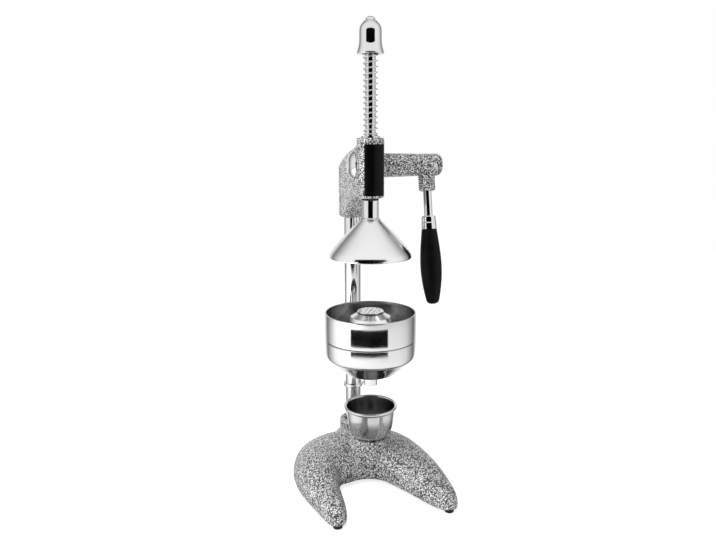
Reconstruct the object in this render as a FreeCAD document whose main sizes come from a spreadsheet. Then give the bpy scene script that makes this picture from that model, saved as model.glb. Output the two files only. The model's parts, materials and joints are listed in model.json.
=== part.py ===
import FreeCAD, Part
import math
import os
import Sketcher

# Lever citrus juice press, millimetres, +Z up, front towards -Y.
# The origin lies on the table under the middle of the footprint.

V = FreeCAD.Vector
UP = FreeCAD.Rotation()
ALONG_X = FreeCAD.Rotation(V(0, 1, 0), 90)
ALONG_Y = FreeCAD.Rotation(V(1, 0, 0), -90)

doc = FreeCAD.newDocument("citrus_press")

# Driving dimensions
DIMENSIONS = {
    # places
    "press_y": 5.0, "column_gap": 100.0, "pinion_z": 447.0,
    # base casting
    "base_bottom": 5.0, "platform_z": 57.0, "platform_radius": 26.0, "platform_foot": 31.0,
    "boss_radius": 22.0, "boss_top": 44.0, "base_wall": 7.0, "pad_radius": 7.0,
    "pad_hole": 2.5, "base_screw_z": 34.0,
    # column
    "column_radius": 12.5, "column_bottom": 20.0, "column_top": 440.0, "bolt_radius": 5.0,
    "bolt_seat": 12.4, "bolt_length": 30.0, "bolt_flats": 16.0,
    # head casting
    "tube_radius": 18.6, "tube_bottom": 404.0, "tube_top": 484.4, "bush_radius": 10.0,
    "bush_length": 18.0, "cheek_half": 19.0, "socket_radius": 20.0, "socket_bottom": 368.0,
    "socket_top": 443.0, "socket_dome": 12.0, "arm_radius": 17.3, "arm_end_radius": 15.6,
    "arm_end": 75.4, "arm_bore": 10.5, "plate_low": 408.0, "plate_high": 476.0, "plate_thick": 0.5,
    "side_cap_radius": 19.3, "side_cap_rise": 7.5, "plate_span": 96.0, "plate_turn": -132.0,
    "lock_screw_y": 25.0, "lock_screw_z": 419.0, "outer_bush_start": 45.0,
    # rack, pinion and shaft
    "tooth_module": 2.0, "pinion_teeth": 16.0, "rack_radius": 7.0, "rack_pitch_line": 5.2,
    "rack_bottom": 353.7, "rack_top": 630.0, "pinion_half": 9.5, "shaft_radius": 8.0,
    "slack": 0.05, "backlash": 0.1, "pressure_angle": 20.0, "rack_gaps": 18.0,
    "key_width": 5.0, "key_height": 5.4, "key_depth": 2.5, "thrust_radius": 12.0, "thrust_thick": 0.4,
    "ring_radius": 10.1, "ring_thick": 1.3, "ring_x": 43.5, "pin_radius": 2.5,
    # return spring
    "coil_radius": 9.0, "wire_radius": 1.0, "seat_height": 2.0, "spring_height": 131.2,
    "spring_quarters": 69.0, "end_quarters": 4.0, "end_pitch": 2.6,
    # top cap
    "cap_bottom": 591.4, "cap_top": 638.2, "cap_skirt": 18.2, "cap_body": 15.0, "cap_bore": 11.2,
    "cap_roof": 619.8, "cap_screw_radius": 2.0, "cap_screw_drop": 13.0,
    # pressing bell
    "hub_radius": 11.5, "bell_top": 374.7, "hub_top": 401.4, "buffer_height": 2.5,
    "bell_radius": 56.9, "bell_rim": 322.6, "bell_wall": 3.0, "bell_crown": 364.7,
    # bowls
    "bowl_radius": 64.8, "bowl_rim": 244.3, "seam_z": 206.0, "bowl_floor": 203.0,
    "funnel_shoulder": 184.0, "funnel_small": 36.7, "funnel_bottom": 155.7,
    "spout_radius": 10.0, "spout_bottom": 136.6, "sheet_wall": 1.5,
    # strainer cone
    "cone_top": 246.0, "cone_top_radius": 18.8, "cone_slots": 16.0, "slot_width": 3.0,
    "slot_start": 24.0, "slot_high": 22.0, "slot_drop": 36.0, "drain_hole": 1.6, "centre_hole": 2.0,
    # juice cup
    "cup_rim_radius": 38.6, "cup_rim": 105.7, "cup_radius": 35.0, "cup_foot": 20.0, "cup_wall": 1.2,
    # lever
    "lever_lean": 11.0, "lever_x": 87.5, "lever_end": 109.0, "lever_gap": 0.3,
    "lever_socket_radius": 11.7, "lever_socket_length": 37.0, "rod_radius": 6.0,
    "ferrule_top": 72.5, "ferrule_radius": 10.8, "grip_top": 91.0, "grip_length": 106.0,
    "grip_radius": 15.1,
    # bowl bracket, collar and their screws
    "bracket_low": 170.0, "bracket_high": 205.0, "bracket_radius": 17.5, "bracket_screw": 17.0,
    "rivet_radius": 2.0, "rivet_head": 3.6, "rivet_drop": 12.0,
    "collar_low": 98.0, "collar_height": 4.6, "collar_radius": 15.5, "screw_radius": 3.0,
    "thumb_radius": 1.7, "thumb_head": 4.5,
}

sheet = doc.addObject("Spreadsheet::Sheet", "dims")
for row, (name, number) in enumerate(DIMENSIONS.items(), start=1):
    sheet.set("A%d" % row, name)
    sheet.set("B%d" % row, str(number))
    sheet.setAlias("B%d" % row, name)
doc.recompute()


class Size:
    """A number together with the sheet expression that gives it."""

    def __init__(self, value, text):
        self.value = float(value)
        self.text = text

    def __add__(self, other):
        other = size(other)
        return Size(self.value + other.value, "(%s + %s)" % (self.text, other.text))

    def __sub__(self, other):
        other = size(other)
        return Size(self.value - other.value, "(%s - %s)" % (self.text, other.text))

    def __rsub__(self, other):
        return size(other) - self

    def __mul__(self, other):
        other = size(other)
        return Size(self.value * other.value, "(%s * %s)" % (self.text, other.text))

    def __truediv__(self, other):
        other = size(other)
        return Size(self.value / other.value, "(%s / %s)" % (self.text, other.text))

    def __neg__(self):
        return Size(-self.value, "(-1 * %s)" % self.text)

    __radd__ = __add__
    __rmul__ = __mul__


def size(number):
    """A Size from a Size or a plain number."""
    return number if isinstance(number, Size) else Size(number, repr(float(number)))


def dim(name):
    """The Size of one named cell."""
    return Size(sheet.get(name), "dims." + name)


def bind(thing, prop, number):
    """Tie one property of an object to its sheet expression."""
    thing.setExpression(prop, size(number).text)


def place(thing, at, turn=UP):
    """Turn an object and tie its position to the sheet."""
    thing.Placement = FreeCAD.Placement(V(*[size(v).value for v in at]), turn)
    for axis, number in zip("xyz", at):
        bind(thing, "Placement.Base." + axis, number)
    return thing


def rod(radius, length, at, turn=UP):
    """A cylinder along its turned Z axis."""
    thing = doc.addObject("Part::Cylinder", "rod")
    bind(thing, "Radius", radius)
    bind(thing, "Height", length)
    return place(thing, at, turn)


def taper(radius_a, radius_b, length, at, turn=UP):
    """A cone frustum along its turned Z axis."""
    thing = doc.addObject("Part::Cone", "taper")
    bind(thing, "Radius1", radius_a)
    bind(thing, "Radius2", radius_b)
    bind(thing, "Height", length)
    return place(thing, at, turn)


def block(x, y, z, at, turn=UP):
    """A box from its lowest corner."""
    thing = doc.addObject("Part::Box", "block")
    bind(thing, "Length", x)
    bind(thing, "Width", y)
    bind(thing, "Height", z)
    return place(thing, at, turn)


def fuse(*things):
    """One object from several that touch."""
    if len(things) == 1:
        return things[0]
    joined = doc.addObject("Part::MultiFuse", "fused")
    joined.Shapes = list(things)
    joined.Refine = True
    return joined


def cut(base, *tools):
    """An object with others taken out of it."""
    left = doc.addObject("Part::Cut", "cut")
    left.Base = base
    left.Tool = fuse(*tools)
    left.Refine = True
    return left


def ring(outer, inner, length, at, turn=UP):
    """A plain tube or washer."""
    return cut(rod(outer, length, at, turn), rod(inner, length, at, turn))


def group(*things):
    """Like pieces that share one node."""
    together = doc.addObject("Part::Compound", "group")
    together.Links = list(things)
    return together


def origin_plane(body, role):
    """A body's own origin plane."""
    return [f for f in body.Origin.OriginFeatures if f.Role == role][0]


def draw(body, plane, corners, arcs):
    """A closed sketch of (across, up) corners; arcs as {segment: radius}, negative to bulge left of travel."""
    sketch = body.newObject("Sketcher::SketchObject", "outline")
    sketch.AttachmentSupport = (origin_plane(body, plane), "")
    sketch.MapMode = "FlatFace"
    points = [(size(a), size(b)) for a, b in corners]
    count = len(points)
    # An arc is stored turning left, so one that bulges left of its travel runs from its far corner.
    backward = [k in arcs and size(arcs[k]).value < 0 for k in range(count)]
    for k in range(count):
        start = V(points[k][0].value, points[k][1].value, 0)
        end = V(points[(k + 1) % count][0].value, points[(k + 1) % count][1].value, 0)
        if k in arcs:
            radius = size(arcs[k]).value
            chord = end - start
            side = V(chord.y, -chord.x, 0).normalize()
            sagitta = abs(radius) - math.sqrt(radius ** 2 - (chord.Length / 2) ** 2)
            crown = (start + end) * 0.5 + side * math.copysign(sagitta, radius)
            sketch.addGeometry(Part.Arc(start, crown, end), False)
        else:
            sketch.addGeometry(Part.LineSegment(start, end), False)
        first = 2 if backward[k] else 1
        for axis, name, number in ((0, "DistanceX", points[k][0]), (1, "DistanceY", points[k][1])):
            if axis == 0 and number.value == 0:
                sketch.addConstraint(Sketcher.Constraint("PointOnObject", k, first, -2))
            else:
                index = sketch.addConstraint(Sketcher.Constraint(name, -1, 1, k, first, number.value))
                sketch.setExpression("Constraints[%d]" % index, number.text)
        if k in arcs:
            index = sketch.addConstraint(Sketcher.Constraint("Radius", k, abs(size(arcs[k]).value)))
            sketch.setExpression("Constraints[%d]" % index, "abs(%s)" % size(arcs[k]).text)
    ends = [(2, 1) if far else (1, 2) for far in backward]
    for k in range(count):
        after = (k + 1) % count
        sketch.addConstraint(Sketcher.Constraint("Coincident", k, ends[k][1], after, ends[after][0]))
    return sketch


def dome(radius, rise):
    """Radius of the ball whose cap has this rim radius and rise."""
    radius, rise = size(radius), size(rise)
    return (radius * radius + rise * rise) / (rise * 2)


def turned(corners, arcs=None, at=(0, 0, 0), turn=UP):
    """A piece turned about its own Z axis from (radius, height) corners."""
    body = doc.addObject("PartDesign::Body", "turned")
    sketch = draw(body, "XZ_Plane", corners, arcs or {})
    spin = body.newObject("PartDesign::Revolution", "revolution")
    spin.Profile = sketch
    spin.ReferenceAxis = (sketch, ["V_Axis"])
    spin.Angle = 360
    sketch.Visibility = False
    return place(body, at, turn)


def padded(plane, corners, length, arcs=None, at=(0, 0, 0), turn=UP):
    """A piece padded to both sides of one of its own planes."""
    body = doc.addObject("PartDesign::Body", "padded")
    sketch = draw(body, plane, corners, arcs or {})
    pad = body.newObject("PartDesign::Pad", "pad")
    pad.Profile = sketch
    bind(pad, "Length", length)
    pad.SideType = "Symmetric"
    return place(body, at, turn)


def soften(body, radius, wanted):
    """Fillet the edges of a body that the test picks."""
    doc.recompute()
    base = body.Tip
    names = ["Edge%d" % (i + 1) for i, edge in enumerate(base.Shape.Edges) if wanted(edge)]
    fillet = body.newObject("PartDesign::Fillet", "fillet")
    fillet.Base = (base, names)
    bind(fillet, "Radius", radius)
    return body


def shaped(shape):
    """An object that holds a shape made by Part's functions."""
    thing = doc.addObject("Part::Feature", "shaped")
    thing.Shape = shape
    return thing


NODES = {}


def node(label, thing):
    """Name one finished piece."""
    thing.Label = label
    NODES[label] = thing
    return thing


# Sizes that several pieces share
PRESS = dim("press_y")
COLUMN = PRESS + dim("column_gap")
PITCH_RADIUS = dim("tooth_module") * dim("pinion_teeth") / 2
PIVOT_Y = PRESS + dim("rack_pitch_line") + PITCH_RADIUS
PIVOT_Z = dim("pinion_z")
TIP_RADIUS = PITCH_RADIUS + dim("tooth_module")
TOOTH_PITCH = dim("tooth_module") * math.pi
SLACK = dim("slack")
AXIS = (0, PRESS, 0)
LEAN = math.radians(dim("lever_lean").value)
LEVER_TURN = FreeCAD.Rotation(V(1, 0, 0), 180 - dim("lever_lean").value)
REAR_TO_FRONT = FreeCAD.Rotation(V(1, 0, 0), 90)

# Base casting: sections of the horseshoe, from the left foot round the back to the right foot.
# Each is the outer x, y and the inner x, y from the press axis, the crest's place between them and its height.
LEG_STATIONS = (
    (-84, -134, -74, -134, 0.5, 9), (-90, -127, -68, -127, 0.5, 18), (-98, -103, -63, -101, 0.48, 28),
    (-107, -69, -61, -64, 0.52, 34), (-114, -30, -55, -40, 0.6, 39), (-110.5, 22, -43, -35, 0.55, 41),
    (-86, 60, -28, -31, 0.5, 42), (-40, 77, -13, -32, 0.45, 43), (0, 75, 1, -38, 0.45, 43),
    (34, 65, 10, -47, 0.4, 43), (62, 34, 17, -59, 0.33, 41), (80, -22, 25, -73, 0.33, 37),
    (86, -66, 34, -91, 0.34, 32), (87, -104, 43, -109, 0.36, 26), (83, -131, 58, -133, 0.45, 17),
    (77, -139, 67, -139, 0.5, 9),
)
# The tail that carries the column: y from the press axis, half width, crest height.
TAIL_STATIONS = ((10, 54, 34), (48, 48, 30), (80, 40, 25), (104, 34, 22), (118, 25, 18), (127, 13, 13))
# Half of every section, as shares of its half width and height, from its edge to its crest
SECTION = ((1.0, 0.0), (0.97, 0.35), (0.8, 0.72), (0.42, 0.95), (0.0, 1.0))
# The four foot pads: x and y from the press axis
PADS = ((-79, -125), (71, -130), (-28, 88), (28, 88))
# Longer than any bore that it makes
THROUGH = 60


def section_wire(centre, across, left, right, low, height):
    """A flat-bottomed rounded section standing on the level low."""
    points = [centre - across * (left * f) + V(0, 0, low + height * g) for f, g in SECTION]
    points += [centre + across * (right * f) + V(0, 0, low + height * g) for f, g in reversed(SECTION[:-1])]
    crown = Part.BSplineCurve()
    crown.interpolate(points)
    return Part.Wire([crown.toShape(), Part.LineSegment(points[-1], points[0]).toShape()])


def leg_loft(shrink, low):
    """The horseshoe, drawn in by the wall on every side."""
    wires = []
    for outer_x, outer_y, inner_x, inner_y, crest, height in LEG_STATIONS:
        outer, inner = V(outer_x, outer_y + PRESS.value, 0), V(inner_x, inner_y + PRESS.value, 0)
        span = inner - outer
        left, right = span.Length * crest, span.Length * (1 - crest)
        if shrink and min(left, right, height - shrink) < 2 * shrink:
            continue
        centre = outer + span * crest
        top = height - shrink - (low - dim("base_bottom").value)
        wires.append(section_wire(centre, span.normalize(), left - shrink, right - shrink, low, top))
    return Part.makeLoft(wires, True, shrink > 0)


def tail_loft(shrink, low):
    """The low tail, drawn in by the wall on every side."""
    wires = []
    for y, half, height in TAIL_STATIONS:
        if shrink and min(half, height) < 3 * shrink:
            continue
        top = height - shrink - (low - dim("base_bottom").value)
        centre = V(0, y + PRESS.value, 0)
        wires.append(section_wire(centre, V(1, 0, 0), half - shrink, half - shrink, low, top))
    return Part.makeLoft(wires, True, False)


def base_casting():
    """Hollow base: horseshoe legs, tail, cup platform and column boss."""
    floor = dim("base_bottom")
    high = dim("platform_z") - floor
    wall = dim("base_wall")
    legs = shaped(leg_loft(0, floor.value))
    tail = shaped(tail_loft(0, floor.value))
    platform = taper(dim("platform_foot"), dim("platform_radius"), high, (0, PRESS, floor))
    boss = rod(dim("boss_radius"), dim("boss_top") - floor, (0, COLUMN, floor))
    below = floor.value - 1
    hollow = [shaped(loft(wall.value, below)) for loft in (leg_loft, tail_loft)]
    pillars = [rod(dim("boss_radius") - 2, THROUGH, (0, COLUMN, 0))]
    pillars.append(rod(dim("platform_radius") - 4, THROUGH, (0, PRESS, 0)))
    pillars += [rod(dim("pad_radius") + 1, THROUGH, (x, PRESS + y, 0)) for x, y in PADS]
    rooms = cut(fuse(*hollow), *pillars)
    column_bore = rod(dim("column_radius"), THROUGH, (0, COLUMN, dim("column_bottom")))
    bolt_bore = rod(dim("bolt_radius") + SLACK, dim("bolt_length"), (0, COLUMN, 0))
    head_room = rod(dim("bolt_radius") * 2 + 1, dim("bolt_seat") + 1.6 - floor, (0, COLUMN, floor))
    holes = [rod(dim("pad_hole"), 12, (x, PRESS + y, floor)) for x, y in PADS]
    screw = rod(dim("screw_radius"), 15, (0, COLUMN + dim("column_radius"), dim("base_screw_z")), ALONG_Y)
    return cut(fuse(legs, tail, platform, boss), rooms, column_bore, bolt_bore, head_room, screw, *holes)


node("base_casting", base_casting())
node("foot_pads", group(*[
    cut(taper(dim("pad_radius") - 1, dim("pad_radius"), dim("base_bottom"), (x, PRESS + y, 0)),
        rod(dim("pad_hole"), 9, (x, PRESS + y, 0)), rod(dim("pad_hole") * 2, 2, (x, PRESS + y, 0)))
    for x, y in PADS]))
node("foot_screws", group(*[
    fuse(rod(dim("pad_hole") * 1.8, 1.2, (x, PRESS + y, 0.8)),
         rod(dim("pad_hole"), 13, (x, PRESS + y, 2)))
    for x, y in PADS]))


def column():
    """Ground steel column, chamfered at both ends and tapped from below."""
    radius, low, high = dim("column_radius"), dim("column_bottom"), dim("column_top")
    bore = dim("bolt_radius")
    return turned([(bore, low), (radius - 1, low), (radius, low + 1), (radius, high - 1),
                   (radius - 1, high), (0, high), (0, low + 28), (bore, low + 25)], at=(0, COLUMN, 0))


def hexagon(across_flats, length, at, turn=UP):
    """A six-sided prism."""
    thing = doc.addObject("Part::Prism", "hexagon")
    thing.Polygon = 6
    bind(thing, "Circumradius", size(across_flats) / math.sqrt(3))
    bind(thing, "Height", length)
    return place(thing, at, turn)


node("column", column())
node("column_washer", ring(dim("bolt_radius") * 2, dim("bolt_radius") + SLACK, 1.6,
                           (0, COLUMN, dim("bolt_seat"))))
node("column_bolt", fuse(hexagon(dim("bolt_flats"), 6.4, (0, COLUMN, dim("bolt_seat") - 6.4)),
                         rod(dim("bolt_radius"), dim("bolt_length"), (0, COLUMN, dim("bolt_seat")))))


def grub_screw(length, at, turn):
    """A headless screw with a hexagon socket in its outer end."""
    x, y, z = at
    socket = (x, y + size(length) - 2, z) if turn is ALONG_Y else (x, y, z + size(length) - 2)
    return cut(rod(dim("screw_radius"), length, at, turn), hexagon(3, 3, socket, turn))


# Heights of the two head screws above the socket's foot
HEAD_SCREWS = (16, 52)

node("base_set_screw", grub_screw(9, (0, COLUMN + dim("column_radius"), dim("base_screw_z")), ALONG_Y))


def head_casting():
    """Rack tube, web, column socket and lever arm in one casting."""
    radius, low, high = dim("tube_radius"), dim("tube_bottom"), dim("tube_top")
    edge = 4
    tube = turned([(0, low), (radius - edge, low), (radius, low + edge), (radius, high - 1),
                   (radius - 1, high), (0, high)], {1: edge}, at=AXIS)
    gap, foot = dim("column_gap"), dim("socket_bottom")
    web = padded("YZ_Plane", [
        (2, high - 9), (21, high - 12), (56, high - 19.4), (gap - 14, high - 28.4), (gap, high - 35),
        (gap, foot), (gap - 20, foot), (20, low), (2, low)], dim("cheek_half") * 2, at=AXIS)
    cheek = dim("cheek_half").value
    soften(web, 5, lambda side: all(abs(abs(v.X) - cheek) < 0.01 for v in side.Vertexes)
           and side.BoundBox.YMax > 3 and side.BoundBox.YMin < gap.value - 1)
    top, rise, wide = dim("socket_top"), dim("socket_dome"), dim("socket_radius")
    socket = turned([(0, foot), (wide - edge, foot), (wide, foot + edge), (wide, top), (0, top + rise)],
                    {1: edge, 3: dome(wide, rise)}, at=(0, COLUMN, 0))
    arm = taper(dim("arm_radius"), dim("arm_end_radius"), dim("arm_end"), (0, PIVOT_Y, PIVOT_Z), ALONG_X)
    cavity, outside = dim("pinion_half") + 0.5, dim("cheek_half") + 5
    bores = [
        rod(dim("bush_radius"), high - low + 10, (0, PRESS, low - 5)),
        rod(TIP_RADIUS + 0.5, outside + cavity, (-outside, PIVOT_Y, PIVOT_Z), ALONG_X),
        rod(dim("arm_bore"), dim("arm_end"), (1, PIVOT_Y, PIVOT_Z), ALONG_X),
        rod(dim("column_radius"), dim("column_top") + 0.5 - foot + 1, (0, COLUMN, foot - 1)),
    ]
    bores += [rod(dim("screw_radius"), 15, (0, COLUMN + dim("column_radius"), foot + z), ALONG_Y)
              for z in HEAD_SCREWS]
    return cut(fuse(tube, web, socket, arm), *bores)


node("head_casting", head_casting())
node("head_set_screws", group(*[
    grub_screw(7, (0, COLUMN + dim("column_radius"), dim("socket_bottom") + z), ALONG_Y)
    for z in HEAD_SCREWS]))


def side_cap():
    """Domed cover on the left cheek, with a blind seat for the shaft bush."""
    out, rise = dim("side_cap_radius"), dim("side_cap_rise")
    reach = dim("cheek_half") - dim("pinion_half") - 0.5
    plug, seat = TIP_RADIUS + 0.5, dim("arm_bore")
    # The piece is turned about its own upright axis: its top points to the left when placed.
    outline = [(0, reach + rise), (0, 8), (seat, 8), (seat, 0), (plug, 0), (plug, reach), (out, reach),
               (out, reach + 1)]
    return turned(outline, {7: dome(out, rise - 1)},
                  at=(-dim("pinion_half") - 0.5, PIVOT_Y, PIVOT_Z), turn=FreeCAD.Rotation(V(0, 1, 0), -90))


node("side_cap", side_cap())
node("shaft_bush_left", ring(dim("arm_bore"), dim("shaft_radius") + SLACK, 7.6,
                             (-dim("pinion_half") - 8.3, PIVOT_Y, PIVOT_Z), ALONG_X))
node("shaft_bush_right", ring(dim("arm_bore"), dim("shaft_radius") + SLACK,
                              dim("arm_end") - dim("outer_bush_start"),
                              (dim("outer_bush_start"), PIVOT_Y, PIVOT_Z), ALONG_X))
node("rack_bush_upper", ring(dim("bush_radius"), dim("rack_radius") + SLACK, dim("bush_length"),
                             (0, PRESS, dim("tube_top") - dim("bush_length"))))
node("rack_bush_lower", ring(dim("bush_radius"), dim("rack_radius") + SLACK, dim("bush_length"),
                             (0, PRESS, dim("tube_bottom"))))
node("bush_lock_screw", rod(dim("screw_radius"), 2,
                            (-dim("cheek_half") - 2, dim("lock_screw_y"), dim("lock_screw_z")), ALONG_X))


def label_plate():
    """Thin bare plate wrapped round the front of the tube."""
    low, high, inner = dim("plate_low"), dim("plate_high"), dim("tube_radius")
    turn = FreeCAD.Rotation(V(0, 0, 1), dim("plate_turn").value)
    outer = rod(inner + dim("plate_thick"), high - low, (0, PRESS, low), turn)
    bind(outer, "Angle", dim("plate_span"))
    return cut(outer, rod(inner, high - low, (0, PRESS, low), turn))


node("label_plate", label_plate())
node("spring_seat", ring(dim("coil_radius") + 4, dim("rack_radius") + 0.4, dim("seat_height"),
                         (0, PRESS, dim("tube_top"))))


def spring_height(angle):
    """Height of the wire's centre above its start after this many radians."""
    closed = dim("end_quarters").value * math.pi / 2
    middle = dim("spring_quarters").value * math.pi / 2
    rise = dim("end_pitch").value / (2 * math.pi)
    tall = dim("spring_height").value - 2 * dim("wire_radius").value - 0.2
    steep = (tall - 2 * closed * rise) / middle
    if angle <= closed:
        return angle * rise
    if angle <= closed + middle:
        return closed * rise + (angle - closed) * steep
    return tall - (2 * closed + middle - angle) * rise


def arc_to(start, corner, end):
    """The arc from start to end that touches both legs of the corner."""
    chord = (start + end) * 0.5
    leg, drop, half = (corner - start).Length, (corner - chord).Length, (chord - start).Length
    crown = corner + (chord - corner) * (leg * (leg - half) / drop / drop)
    return Part.Arc(start, crown, end).toShape()


def return_spring():
    """One helical wire with closed ends, on two arcs for each quarter turn."""
    radius = dim("coil_radius").value
    quarters = int(dim("spring_quarters").value + 2 * dim("end_quarters").value)
    step = math.pi / 2

    def point(angle):
        return V(radius * math.cos(angle), radius * math.sin(angle), spring_height(angle))

    def heading(angle):
        slope = (spring_height(angle + 0.01) - spring_height(angle - 0.01)) / 0.02
        return V(-radius * math.sin(angle), radius * math.cos(angle), slope).normalize()

    edges = []
    for k in range(quarters):
        a, b = point(k * step), point((k + 1) * step)
        ta, tb = heading(k * step), heading((k + 1) * step)
        span, both = b - a, ta + tb
        square, mid, free = 2 * (1 - ta.dot(tb)), span.dot(both), span.dot(span)
        reach = (-mid + math.sqrt(mid * mid + square * free)) / square
        first, second = a + ta * reach, b - tb * reach
        joint = (first + second) * 0.5
        edges += [arc_to(a, first, joint), arc_to(joint, second, b)]
    path = Part.Wire(edges)
    ring_wire = Part.Wire(Part.makeCircle(dim("wire_radius").value, point(0), heading(0)))
    coil = path.makePipeShell([ring_wire], True, False)
    samples = [point(i * 0.05) for i in range(int(quarters * step / 0.05))]
    turn = int(2 * math.pi / 0.05)
    near = min((p - q).Length for i, p in enumerate(samples) for q in samples[i + turn // 2:i + turn + 10])
    print("spring: least gap to itself %.2f mm" % (near - 2 * dim("wire_radius").value))
    section = math.pi * dim("wire_radius").value ** 2
    print("spring: volume %.0f, section times length %.0f" % (coil.Volume, path.Length * section))
    return shaped(coil)


SPRING_START = dim("tube_top") + dim("seat_height") + dim("wire_radius") + 0.1
node("return_spring", place(return_spring(), (0, PRESS, SPRING_START)))


def rack_shaft():
    """Round shaft with rack teeth cut into its rear side."""
    radius, low, high = dim("rack_radius"), dim("rack_bottom"), dim("rack_top")
    body = turned([(0, low), (radius - 1, low), (radius, low + 1), (radius, high - 1), (radius - 1, high),
                   (0, high)], at=AXIS)
    doc.recompute()
    solid = body.Shape.Volume
    count = int(dim("rack_gaps").value)
    middle = PIVOT_Z - TOOTH_PITCH * 1.5
    root = dim("rack_pitch_line") - dim("tooth_module") * 1.25
    slant = math.tan(math.radians(dim("pressure_angle").value))
    half = TOOTH_PITCH / 4 + dim("backlash")
    out = radius + 1
    inner = half - (dim("rack_pitch_line") - root) * slant
    outer = half + (out - dim("rack_pitch_line")) * slant
    gap = draw(body, "YZ_Plane", [(root, middle - inner), (out, middle - outer), (out, middle + outer),
                                  (root, middle + inner)], {})
    pocket = body.newObject("PartDesign::Pocket", "gap")
    pocket.Profile = gap
    pocket.SideType = "Symmetric"
    bind(pocket, "Length", radius * 3)
    row = body.newObject("PartDesign::LinearPattern", "row")
    row.Originals = [pocket]
    row.Direction = (gap, ["V_Axis"])
    row.Occurrences = count
    bind(row, "Length", TOOTH_PITCH * (count - 1))
    body.Tip = row
    doc.recompute()
    print("rack: %d gaps of pitch %.3f cut %.0f of %.0f mm3"
          % (count, TOOTH_PITCH.value, solid - body.Shape.Volume, solid))
    return body


node("rack_shaft", rack_shaft())


def top_cap():
    """Hollow bell-mouthed cap screwed to the top of the shaft."""
    low, high, roof = dim("cap_bottom"), dim("cap_top"), dim("cap_roof")
    body, skirt, bore, end = dim("cap_body"), dim("cap_skirt"), dim("cap_bore"), dim("rack_top")
    outline = [(bore, low), (skirt, low), (skirt, low + 1.2), (body + 0.2, low + 12), (body, roof),
               (8.7, high - 5.8), (6.6, high - 4.6), (0, high), (0, end), (dim("rack_radius"), end),
               (dim("rack_radius"), roof), (bore, roof)]
    shape = turned(outline, {2: -18, 4: 15, 6: dome(6.6, 4.6)}, at=AXIS)
    return cut(shape, rod(dim("cap_screw_radius"), 12, CAP_SCREW, ALONG_Y))


CAP_SCREW = (0, PRESS + dim("rack_radius"), dim("cap_top") - dim("cap_screw_drop"))
node("top_cap", top_cap())
node("cap_set_screw", rod(dim("cap_screw_radius"), 6.5, CAP_SCREW, ALONG_Y))
node("spring_washer", ring(dim("cap_bore") - 0.1, dim("rack_radius"), 2.1, (0, PRESS, dim("cap_roof") - 2.1)))


def bell_hub():
    """Collar between the tube and the bell."""
    low, high, radius, bore = dim("bell_top"), dim("hub_top"), dim("hub_radius"), dim("rack_radius")
    return turned([(bore, low), (radius + 2.5, low), (radius + 2.5, low + 1.3), (radius, low + 2.6),
                   (radius, high), (bore, high)], at=AXIS)


node("bell_hub", bell_hub())
node("buffer_ring", ring(dim("hub_radius") - 0.4, dim("rack_radius"), dim("buffer_height"),
                         (0, PRESS, dim("hub_top"))))


def press_bell():
    """Cast bell that comes down over the fruit."""
    rim, top, radius, wall = dim("bell_rim"), dim("bell_top"), dim("bell_radius"), dim("bell_wall")
    bore, crown = dim("rack_radius"), dim("bell_crown")
    outline = [(bore, top), (14.1, top), (38.9, rim + 27.6), (55.1, rim + 7.5), (radius, rim + 2.4),
               (radius, rim), (radius - wall, rim), (radius - wall, rim + 2.4), (52.6, rim + 5.8),
               (37, rim + 25.4), (24, crown - 3), (16, crown), (bore, crown)]
    return turned(list(reversed(outline)), {9: 84, 8: 10, 3: -80, 4: -9}, at=AXIS)


def bell_nut():
    """Nut under the bell's crown."""
    low = dim("bell_crown") - 8.5
    return cut(hexagon(20, 8.5, (0, PRESS, low)), rod(dim("rack_radius"), 9, (0, PRESS, low)))


node("press_bell", press_bell())
node("bell_nut", bell_nut())


def upper_bowl():
    """Lift-off strainer bowl that sits in the funnel's mouth."""
    rim, seam, floor = dim("bowl_rim"), dim("seam_z"), dim("bowl_floor")
    radius, wall = dim("bowl_radius"), dim("sheet_wall")
    inside, hole = radius - 2.6, 27
    outline = [(hole, floor), (inside - 2, floor), (inside, floor + 2), (inside, seam), (radius, seam),
               (radius, rim - 1), (radius - 0.6, rim), (radius - wall, rim - 0.4), (radius - wall, seam + 3),
               (inside - wall, seam + 1), (inside - 3, floor + wall), (hole, floor + wall)]
    return turned(outline, at=AXIS)


def cone_slot(turn):
    """One slot down the cone's flank, this many degrees round the press axis."""
    start, width = dim("slot_start"), dim("slot_width")
    spin = FreeCAD.Rotation(V(0, 0, 1), turn)
    corner = spin.multVec(V(start.value, -width.value / 2, 0))
    low = dim("cone_top") - dim("slot_drop")
    return block(start, width, dim("slot_high"), (corner.x, PRESS + corner.y, low), spin)


def strainer_cone():
    """Ridged cone with drain holes in its top and slots round its foot."""
    top, small, floor = dim("cone_top"), dim("cone_top_radius"), dim("bowl_floor") + dim("sheet_wall")
    outline = [(0, top), (small - 1, top), (small, top - 1), (small, top - 3), (small + 0.8, top - 3.6),
               (28, top - 8), (31, top - 13), (34, floor + 1), (38, floor + 1), (38, floor), (32.4, floor),
               (29.5, top - 13.5), (27, top - 9.4), (small - 1.6, top - 5), (small - 1.6, top - 1.8),
               (0, top - 1.8)]
    shell = turned(list(reversed(outline)), at=AXIS)
    count = int(dim("cone_slots").value)
    slots = [cone_slot(k * 360 / count) for k in range(count)]
    holes = [rod(dim("centre_hole"), 6, (0, PRESS, top - 4))]
    for radius, number in ((7, 6), (13, 12)):
        for k in range(number):
            angle = 2 * math.pi * k / number
            x, y = radius * math.cos(angle), radius * math.sin(angle)
            holes.append(rod(dim("drain_hole"), 6, (x, PRESS + y, top - 4)))
    return cut(shell, *slots, *holes)


node("upper_bowl", upper_bowl())
node("strainer_cone", strainer_cone())


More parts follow.
